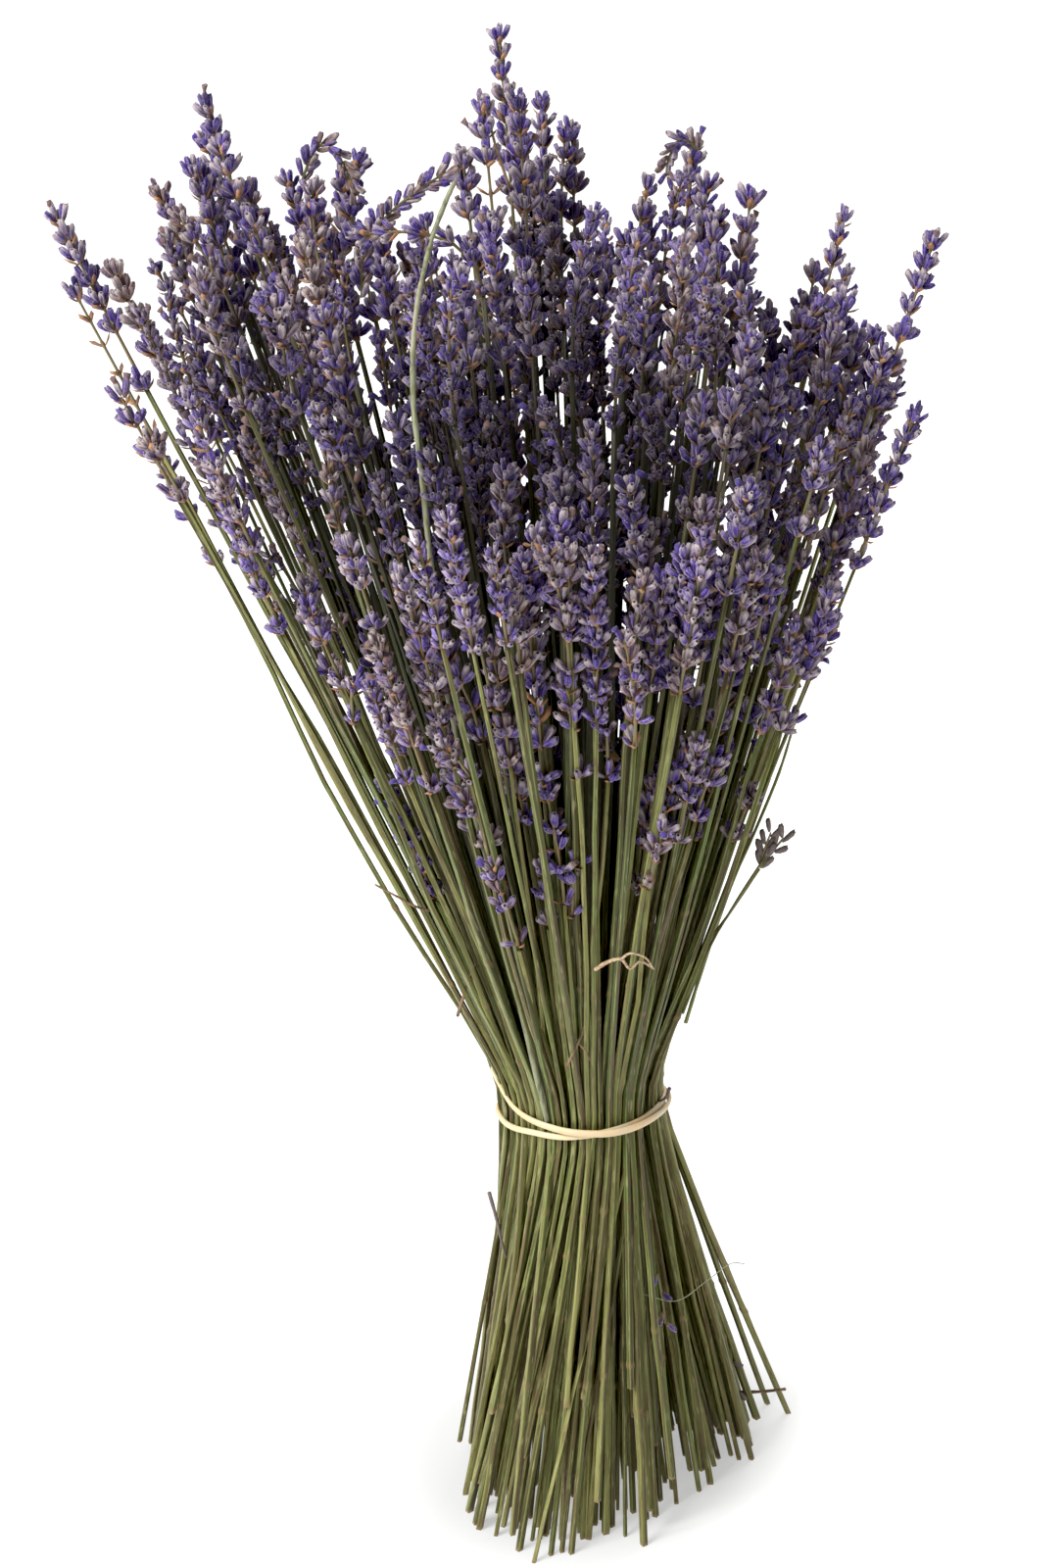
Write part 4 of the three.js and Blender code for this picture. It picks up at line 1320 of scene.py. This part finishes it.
class Surface:
    """One procedural material on a Principled shader. Colours are laid on it one over the other."""

    def __init__(self, name, colour, **constants):
        self.material = bpy.data.materials.new(name)
        self.material.use_nodes = True
        self.tree = self.material.node_tree
        self.tree.nodes.clear()
        self.shader = self.tree.nodes.new("ShaderNodeBsdfPrincipled")
        output = self.tree.nodes.new("ShaderNodeOutputMaterial")
        self.tree.links.new(self.shader.outputs[0], output.inputs[0])
        self.colour = colour
        for key, value in constants.items():
            self.set(key.replace("_", " "), value)

    def feed(self, socket, value):
        """Links a field to a socket, or sets the socket's own value. A colour gets its fourth number
        here."""
        if isinstance(value, Field):
            self.tree.links.new(value.socket, socket)
        elif isinstance(value, tuple) and len(value) < len(socket.default_value):
            socket.default_value = (*value, 1.0)
        else:
            socket.default_value = value

    def set(self, name, value):
        self.feed(self.shader.inputs[name], value)

    def node(self, kind, settings, inputs, output=0):
        """Adds a node of a type, with its settings made first and then its sockets fed."""
        made = self.tree.nodes.new(kind)
        for key, value in settings.items():
            setattr(made, key, value)
        for key, value in inputs.items():
            self.feed(made.inputs[key], value)
        return Field(self, made.outputs[output])

    def mark(self, name):
        """A value that the mesh carries at its corners."""
        return self.node("ShaderNodeAttribute", {"attribute_name": name}, {}, "Fac")

    def place(self, scale=(1, 1, 1)):
        """Object coordinates, in metres, stretched by a scale."""
        here = self.node("ShaderNodeTexCoord", {}, {}, "Object")
        return self.node("ShaderNodeMapping", {}, {"Vector": here, "Scale": scale})

    def noise(self, scale, detail, stretch=(1, 1, 1)):
        """A cloud of values near a half."""
        inputs = {"Vector": self.place(stretch), "Scale": scale, "Detail": detail}
        return self.node("ShaderNodeTexNoise", {}, inputs, "Fac")

    def streaks(self, scale, stretch, row):
        """A cloud drawn out along a stem, from the place in its section in millimetres and the height. Each
        row number gives a cloud of its own."""
        inputs = {"X": self.mark("east"), "Y": self.mark("north"), "Z": self.mark("along") * stretch}
        vector = self.node("ShaderNodeCombineXYZ", {}, inputs)
        inputs = {"Vector": vector, "Scale": scale, "Detail": 3.0, "W": row}
        return self.node("ShaderNodeTexNoise", {"noise_dimensions": "4D"}, inputs, "Fac")

    def between(self, value, low, high):
        """From 0 where the value is at low to 1 where it is at high, eased at both ends. Low may be the
        larger."""
        inputs = {"Value": value, "From Min": low, "From Max": high}
        return self.node("ShaderNodeMapRange", {"interpolation_type": "SMOOTHSTEP"}, inputs)

    def mix(self, share, first, second):
        """From the first colour to the second by a share."""
        return self.node("ShaderNodeMix", {"data_type": "RGBA"}, {0: share, 6: first, 7: second}, 2)

    def cover(self, colour, share):
        """Lays a colour over those before it, by a share."""
        self.colour = self.mix(share, self.colour, colour)

    def cover_by(self, value, low, high, colour, share=1.0):
        """Lays a colour over those before it: none of it where the value is at low, and its share at
        high."""
        self.cover(colour, self.between(value, low, high) * share)

    def bump(self, height, strength, distance):
        inputs = {"Height": height, "Strength": strength, "Distance": distance}
        self.set("Normal", self.node("ShaderNodeBump", {}, inputs))

    def finished(self):
        """The material, with all its colours on it."""
        self.set("Base Color", self.colour)
        return self.material


def stem_material(colours):
    """Olive green, fresher or strawy in some stems, with paler ridges, brown dead streaks, flecks and
    knots. The paler ridges are partly a painted highlight, and the grooves between them are darkened as
    painted shade. Long stretches are darker or lighter. The cut end is straw, and what lies deep among the
    heads is painted nearly black, as shade."""
    dead = tuple(colours.streak)
    surface = Surface(
        "stem_dried", tuple(colours.stem), Roughness=0.62, Sheen_Weight=0.12, Specular_IOR_Level=0.35
    )
    tone, along, ridge = surface.mark("tone"), surface.mark("along"), surface.mark("ridge")
    fibre = surface.streaks(1.5, 9, tone * 40)
    patch = surface.streaks(0.7, 9, tone * 40 + 7)
    stretch = surface.streaks(0.25, 1.5, tone * 90 + 3)
    fleck = surface.streaks(1.6, 42, tone * 40 + 13)
    surface.cover_by(tone, 0.25, 0.8, tint("fresh stem"), 0.85)
    surface.cover_by(tone, 0.35, 0.0, tint("straw stem"), 0.8)
    # Paler ridges: partly their own paler green, partly a painted highlight
    surface.cover(tuple(colours.ridge), ridge**2.2 * 0.85)
    surface.cover_by(along, 0.55, 0.85, tint("upper stem"), 0.5)
    surface.cover_by(along, 0.4, 0.1, tint("lower stem"), 0.3)
    surface.cover_by(patch + fibre * 0.3 + tone * 0.1, 0.73, 0.86, dead, 0.85)
    # Painted shade in the grooves between the ridges
    surface.cover(tinted(dead, 0.5), (1 - ridge) * 0.35)
    surface.cover_by(fibre, 0.5, 0.6, tinted(dead, 0.4), 0.7)
    surface.cover_by(stretch, 0.52, 0.38, tinted(dead, 0.45), 0.45)
    surface.cover_by(stretch, 0.5, 0.64, tint("light stretch"), 0.4)
    surface.cover_by(fleck, 0.56, 0.64, tint("brown fleck"), 0.65)
    surface.cover_by(fleck, 0.43, 0.34, tint("pale fleck"), 0.5)
    surface.cover_by(surface.mark("kind"), 0.3, 0.9, tint("knot"), 0.55)
    surface.cover(tint("cut end"), surface.mark("end") * 0.9)
    # Painted shade: what lies deep among the heads is nearly black
    surface.cover(tint("painted shade stem"), surface.mark("deep") ** 0.6 * 0.89)
    surface.bump(fibre + ridge * 0.5, 0.7, 0.0005)
    return surface.finished()


def calyx_material(colours):
    """Violet ribs over indigo grooves, with grey lilac down towards the mouth and brown at the base. The
    indigo grooves are partly painted shade, and so is the dark in the hollow mouth. Some calyxes are vivid,
    tan, downy or dark all over, and those deep among the heads are darker with painted shade."""
    shade, down = tuple(colours.shade), tuple(colours.down)
    surface = Surface(
        "calyx_dried", tuple(colours.calyx), Roughness=0.9, Sheen_Weight=0.9, Sheen_Roughness=0.32
    )
    surface.set("Sheen Tint", tint("sheen"))
    tone, along, ridge = surface.mark("tone"), surface.mark("along"), surface.mark("ridge")
    kind = surface.mark("kind")
    fuzz = surface.noise(1600, 3)
    ribs = surface.streaks(1.9, 0.7, tone * 60)
    surface.cover_by(tone + surface.noise(14, 2) * 0.6, 0.48, 0.8, tint("vivid calyx"))
    surface.cover_by(tone, 0.4, 0.0, tint("tan calyx"), 0.8)
    surface.cover_by(kind, 0.62, 0.75, down, 0.55)
    # The grooves: partly their own indigo, partly painted shade
    surface.cover(shade, (1 - ridge) * 0.8)
    surface.cover_by(ridge, 0.7, 1.0, down, 0.25)
    surface.cover_by(along, 0.5, 1.05, down, surface.between(kind, 0.0, 1.0) * 0.75)
    surface.cover_by(ribs, 0.5, 0.34, shade, 0.6)
    surface.cover_by(ribs, 0.53, 0.66, down, 0.42)
    surface.cover_by(fuzz, 0.5, 0.75, down, 0.3)
    surface.cover_by(along, 0.38, 0.0, tint("calyx base"), 0.82)
    surface.cover_by(tone, 0.5, 0.9, shade, surface.between(kind, 0.75, 0.1) * 0.7)
    # Painted shade in the hollow mouth
    surface.cover_by(surface.mark("end"), 0.1, 0.6, tinted(shade, 0.6))
    # Painted shade deep among the heads
    surface.cover(tinted(shade, 0.5), surface.mark("deep") * 0.66)
    surface.bump(fuzz * 0.5 + ribs * 2, 0.7, 0.0004)
    return surface.finished()


def bract_material(colours):
    """Papery orange brown, darker at the base, veined along, and darker deep among the heads, which is
    painted shade.
    """
    bract = tuple(colours.bract)
    surface = Surface("bract_papery", tinted(bract, 0.5), Roughness=0.7, Sheen_Weight=0.1)
    grain = surface.noise(1200, 3)
    surface.cover_by(surface.mark("tone"), 0.0, 1.0, tint("light bract"))
    surface.cover_by(surface.mark("along"), 0.1, 0.8, bract, 0.5)
    surface.cover_by(grain, 0.45, 0.7, tint("bract grain"), 0.4)
    # Painted shade deep among the heads
    surface.cover(tint("painted shade bract"), surface.mark("deep") * 0.7)
    surface.bump(grain, 0.4, 0.0002)
    return surface.finished()


def rachis_material(colours):
    """Straw or green, brown at the nodes, and darker deep among the heads, which is painted shade."""
    surface = Surface("rachis_dried", tuple(colours.rachis), Roughness=0.7)
    grain = surface.noise(700, 3, (1, 1, 0.15))
    surface.cover_by(surface.mark("tone"), 0.0, 1.0, tint("green rachis"))
    surface.cover(tint("rachis node"), surface.mark("ridge") * 0.8)
    surface.cover_by(grain, 0.45, 0.75, tint("rachis grain"), 0.4)
    # Painted shade deep among the heads
    surface.cover(tint("painted shade rachis"), surface.mark("deep") * 0.8)
    surface.bump(grain, 0.4, 0.0002)
    return surface.finished()


def corolla_material(colours):
    """Faded blue violet, in places dried to a pinkish tan."""
    surface = Surface("corolla_dried", tuple(colours.corolla), Roughness=0.75, Sheen_Weight=0.2)
    surface.cover_by(surface.mark("tone"), 0.3, 0.5, tint("tan corolla"))
    surface.cover_by(surface.noise(1400, 2), 0.4, 0.7, tint("dark corolla"), 0.5)
    return surface.finished()


def twig_material(colours):
    """Grey brown, with fine darker grain."""
    surface = Surface("twig_dried", tuple(colours.twig), Roughness=0.75)
    grain = surface.noise(900, 3, (1, 1, 0.2))
    surface.cover_by(grain, 0.4, 0.65, tint("twig grain"))
    surface.bump(grain, 0.4, 0.0002)
    return surface.finished()


def stalk_material(colours):
    """Grey green, darker in streaks, with straw patches."""
    surface = Surface("stalk_bleached", tuple(colours.stalk), Roughness=0.7, Sheen_Weight=0.15)
    grain = surface.noise(900, 3, (1, 1, 0.15))
    surface.cover_by(grain, 0.4, 0.65, tint("stalk grain"))
    surface.cover_by(surface.noise(60, 2), 0.4, 0.65, tint("straw stalk"), 0.5)
    surface.bump(grain, 0.5, 0.0003)
    return surface.finished()


def strip_material(colours):
    """Pale cream, with tan specks."""
    surface = Surface("strip_papery", tuple(colours.strip), Roughness=0.7)
    surface.cover_by(surface.noise(1300, 2), 0.45, 0.65, tint("strip speck"))
    return surface.finished()


def dark_material(colours):
    """Dead brown, dark and grey in a fine cloud."""
    surface = Surface("twig_dead", tuple(colours.dead), Roughness=0.8)
    surface.cover(tint("grey dead twig"), surface.noise(900, 2))
    return surface.finished()


def band_material(colours):
    """Cream rubber, a little darker and yellower in patches, with fine specks."""
    surface = Surface(
        "band_rubber", tuple(colours.band), Roughness=0.5, Subsurface_Weight=0.15, Subsurface_Scale=0.002
    )
    surface.set("Subsurface Radius", (1.0, 0.6, 0.3))
    speck = surface.noise(2500, 2)
    surface.cover_by(surface.noise(120, 3), 0.35, 0.7, tint("yellow rubber"), 0.6)
    surface.cover_by(speck, 0.6, 0.75, tint("rubber speck"), 0.35)
    surface.bump(speck, 0.25, 0.0002)
    return surface.finished()


def floor_material(colours):
    """Pale and even, with a glow that grows away from the bunch, as of a sheet lit from below. The glow is
    painted light, and where it is dimmer near the foot it is a painted contact shadow.
    """
    pale = tuple(colours.floor)
    surface = Surface("floor_pale", pale, Roughness=0.6, Emission_Strength=FLOOR_GLOW)
    surface.cover(tinted(pale, 0.985), surface.noise(3, 2))
    away = surface.node("ShaderNodeVectorMath", {"operation": "LENGTH"}, {0: surface.place()}, "Value")
    # Painted contact shadow: a dim glow at the foot, growing away from it
    glow = surface.mix(surface.between(away, *PAINTED_SHADOW_REACH), (PAINTED_SHADOW_GLOW,) * 3, (GLOW_BESIDE,) * 3)
    surface.set("Emission Color", surface.mix(surface.between(away, *GLOW_FAR), glow, (1.0, 1.0, 1.0)))
    return surface.finished()


SPIKE_MAKERS = (calyx_material, bract_material, rachis_material, corolla_material)
TWIG_MAKERS = {
    "green": stem_material,
    "pale": stalk_material,
    "brown": twig_material,
    "dark": dark_material,
    "cream": strip_material,
}


class Workshop:
    """The stems and the materials, made once for all the operators."""

    stems = None
    more = None
    materials = {}

    @classmethod
    def fill(cls):
        """Lays out the stems of the solids, and then the further sets, each between all those before it."""
        if cls.stems is None:
            cls.stems = lay_out_stems()
            draw = Draws(MORE_SEED)
            edge = edge_stems(EDGE, EDGE_SPACING, cls.stems, draw)
            edge += stray_stems(cls.stems + edge, draw)
            tall = drawn_stems(cls.stems + edge, TALL, draw)
            low = drawn_stems(cls.stems + edge + tall, LOW, draw)
            low += edge_stems(BACK, BACK_SPACING, cls.stems + edge + tall + low, draw)
            cls.more = {"edge": edge, "tall": tall, "low": low}

    @classmethod
    def finishes(cls, *makers):
        """One material from each maker."""
        for maker in makers:
            if maker not in cls.materials:
                cls.materials[maker] = maker(bpy.context.scene.lavender_colours)
        return [cls.materials[maker] for maker in makers]


def keep(piece, slot, *nodes):
    """Sets a finished piece on its body, and hides the parts that it stands for."""
    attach(piece, BODY)
    if nodes:
        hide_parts(*nodes)


class LAVENDER_OT_stems(bpy.types.Operator):
    """Makes the handfuls of stems that the solids show"""

    bl_idname = "lavender.stems"
    bl_label = "Stems"

    def execute(self, context):
        Workshop.fill()
        for group in range(STEM_GROUPS["inner"] + STEM_GROUPS["outer"]):
            members = [stem for stem in Workshop.stems if stem_group_of(stem) == group]
            shape = Shape()
            add_stems(shape, members, context.scene.lavender_sizes, STEM_SEED + group)
            piece = shape.make(f"stem_handful_{group + 1:02d}", Workshop.finishes(stem_material))
            keep(piece, "stem", f"stems_{group + 1:02d}")
        return {"FINISHED"}


class LAVENDER_OT_spikes(bpy.types.Operator):
    """Makes the flower spikes that the solids show"""

    bl_idname = "lavender.spikes"
    bl_label = "Flower spikes"

    def execute(self, context):
        Workshop.fill()
        for group in range(len(LEADING) + FILLING["count"]):
            grade = FINE if group < len(LEADING) else PLAIN
            shape = Shape()
            for number, stem in enumerate(Workshop.stems):
                if stem.group == group:
                    stem.kept = SPARSE_GROUPS.get(group, 1.0)
                    bare = BARE_SPIKES.get(number, 0.0)
                    add_spike(shape, stem, context.scene.lavender_sizes, SPIKE_SEED + number, grade, bare)
            piece = shape.make(f"flower_spikes_{group + 1:02d}", Workshop.finishes(*SPIKE_MAKERS))
            keep(piece, "calyx", f"spikes_{group + 1:02d}")
        return {"FINISHED"}


class LAVENDER_OT_more(bpy.types.Operator):
    """Makes the stems and spikes between those that the solids show"""

    bl_idname = "lavender.more"
    bl_label = "Stems and spikes between"

    def execute(self, context):
        Workshop.fill()
        sizes = context.scene.lavender_sizes
        for name, outer_grade, inner_grade, parts, stem_seed, spike_seed in MORE_SETS:
            stems = Workshop.more[name]
            shape = Shape()
            add_stems(shape, stems, sizes, stem_seed)
            keep(shape.make(f"stems_{name}", Workshop.finishes(stem_material)), "stem")
            for part in range(parts):
                shape = Shape()
                for number in range(part, len(stems), parts):
                    inner = math.hypot(*stems[number].waist) < INNER_RADIUS
                    grade = inner_grade if inner else outer_grade
                    add_spike(shape, stems[number], sizes, spike_seed + number, grade)
                keep(shape.make(f"spikes_{name}_{part + 1}", Workshop.finishes(*SPIKE_MAKERS)), "calyx")
        return {"FINISHED"}


class LAVENDER_OT_twigs(bpy.types.Operator):
    """Makes the bent twigs and the hooked or broken spikes"""

    bl_idname = "lavender.twigs"
    bl_label = "Twigs and hooked spikes"

    def execute(self, context):
        sizes = context.scene.lavender_sizes
        kinds = list(TWIG_MAKERS)
        shape = Shape()
        for number, (kind, start, end, points) in enumerate(TWIGS):
            add_tube(shape, points, start, end, kinds.index(kind), TWIG_SEED + number)
        keep(shape.make("twigs", Workshop.finishes(*TWIG_MAKERS.values())), "stem")
        shape = Shape()
        for number, (count, brown, points) in enumerate(HOOKS):
            add_hook(shape, points, count, brown, sizes, HOOK_SEED + number)
        keep(shape.make("hooked_spikes", Workshop.finishes(*SPIKE_MAKERS, dark_material)), "calyx")
        return {"FINISHED"}


class LAVENDER_OT_band(bpy.types.Operator):
    """Makes the rubber band, wound twice round the waist"""

    bl_idname = "lavender.band"
    bl_label = "Rubber band"

    def execute(self, context):
        Workshop.fill()
        held = sum(Workshop.more.values(), Workshop.stems)
        (rubber,) = Workshop.finishes(band_material)
        piece = band_mesh("rubber_band", held, context.scene.lavender_sizes, rubber)
        keep(piece, "rubber", "band")
        return {"FINISHED"}


def area_light(name, place, target, size, power):
    """A square lamp that faces a target."""
    lamp = bpy.data.lights.new(name, "AREA")
    lamp.shape = "SQUARE"
    lamp.size = size
    lamp.energy = power
    offset = np.array(target, float) - np.array(place, float)
    flat = math.hypot(offset[0], offset[1])
    turn = Matrix.Rotation(math.atan2(-offset[0], offset[1]), 4, "Z")
    tilt = Matrix.Rotation(math.atan2(offset[2], flat) + math.pi / 2, 4, "X")
    holder = linked(name, lamp)
    holder.matrix_world = Matrix.Translation(place) @ turn @ tilt
    holder.visible_camera = False


def studio_world():
    """A white room: as bright as a lit wall where the camera sees it, and a dimmer light on the bunch."""
    world = bpy.data.worlds.new("studio")
    world.use_nodes = True
    tree = world.node_tree
    background = tree.nodes["Background"]
    background.inputs["Color"].default_value = (1, 1, 1, 1)
    path = tree.nodes.new("ShaderNodeLightPath")
    strength = tree.nodes.new("ShaderNodeMapRange")
    strength.inputs["To Min"].default_value = WORLD_LIGHT
    strength.inputs["To Max"].default_value = WORLD_SEEN
    tree.links.new(path.outputs["Is Camera Ray"], strength.inputs["Value"])
    tree.links.new(strength.outputs["Result"], background.inputs["Strength"])
    return world


def add_floor():
    """The floor: one square sheet."""
    mesh = bpy.data.meshes.new("floor")
    corners = [(x * FLOOR_REACH, y * FLOOR_REACH, 0) for x, y in ((-1, -1), (1, -1), (1, 1), (-1, 1))]
    mesh.from_pydata(corners, [], [(0, 1, 2, 3)])
    (pale,) = Workshop.finishes(floor_material)
    mesh.materials.append(pale)
    linked("floor", mesh)


def add_camera():
    """The photograph's camera."""
    camera = bpy.data.cameras.new("camera")
    camera.lens = CAMERA["lens"]
    camera.sensor_width = CAMERA["sensor"]
    camera.clip_end = CAMERA["far"]
    place = np.array(CAMERA["place"]) + np.array((*AXIS, 0.0))
    tilt = Matrix.Rotation(math.radians(90 - CAMERA["down"]), 4, "X")
    roll = Matrix.Rotation(math.radians(CAMERA["roll"]), 4, "Z")
    holder = linked("camera", camera)
    holder.matrix_world = Matrix.Translation(place * MM) @ tilt @ roll
    bpy.context.scene.camera = holder


class LAVENDER_OT_stage(bpy.types.Operator):
    """Makes the pale floor, the soft light and the camera"""

    bl_idname = "lavender.stage"
    bl_label = "Stage"

    def execute(self, context):
        add_floor()
        context.scene.world = studio_world()
        for name, lamp in LAMPS.items():
            area_light(name, *lamp)
        view = context.scene.view_settings
        view.view_transform = "Standard"
        view.use_curve_mapping = True
        view.curve_mapping.black_level = (BLACK_LEVEL,) * 3
        view.curve_mapping.update()
        add_camera()
        return {"FINISHED"}


class LAVENDER_PT_panel(bpy.types.Panel):
    """Lists the sizes, the colours and the pieces"""

    bl_idname = "LAVENDER_PT_panel"
    bl_label = "Dried lavender bunch"
    bl_space_type = "VIEW_3D"
    bl_region_type = "UI"
    bl_category = "Lavender"

    def draw(self, context):
        for group in (context.scene.lavender_sizes, context.scene.lavender_colours):
            for name in group.__annotations__:
                self.layout.prop(group, name)
        for operator in OPERATORS:
            self.layout.operator(operator.bl_idname)


OPERATORS = (
    LAVENDER_OT_stems,
    LAVENDER_OT_spikes,
    LAVENDER_OT_more,
    LAVENDER_OT_twigs,
    LAVENDER_OT_band,
    LAVENDER_OT_stage,
)
CLASSES = (BunchSizes, BunchColours, *OPERATORS, LAVENDER_PT_panel)


def register():
    for one in CLASSES:
        bpy.utils.register_class(one)
    bpy.types.Scene.lavender_sizes = bpy.props.PointerProperty(type=BunchSizes)
    bpy.types.Scene.lavender_colours = bpy.props.PointerProperty(type=BunchColours)


def unregister():
    del bpy.types.Scene.lavender_colours
    del bpy.types.Scene.lavender_sizes
    for one in reversed(CLASSES):
        bpy.utils.unregister_class(one)


def main():
    register()
    bpy.ops.lavender.stage()
    bpy.ops.lavender.stems()
    bpy.ops.lavender.spikes()
    bpy.ops.lavender.more()
    bpy.ops.lavender.twigs()
    bpy.ops.lavender.band()


if __name__ == "__main__":
    main()
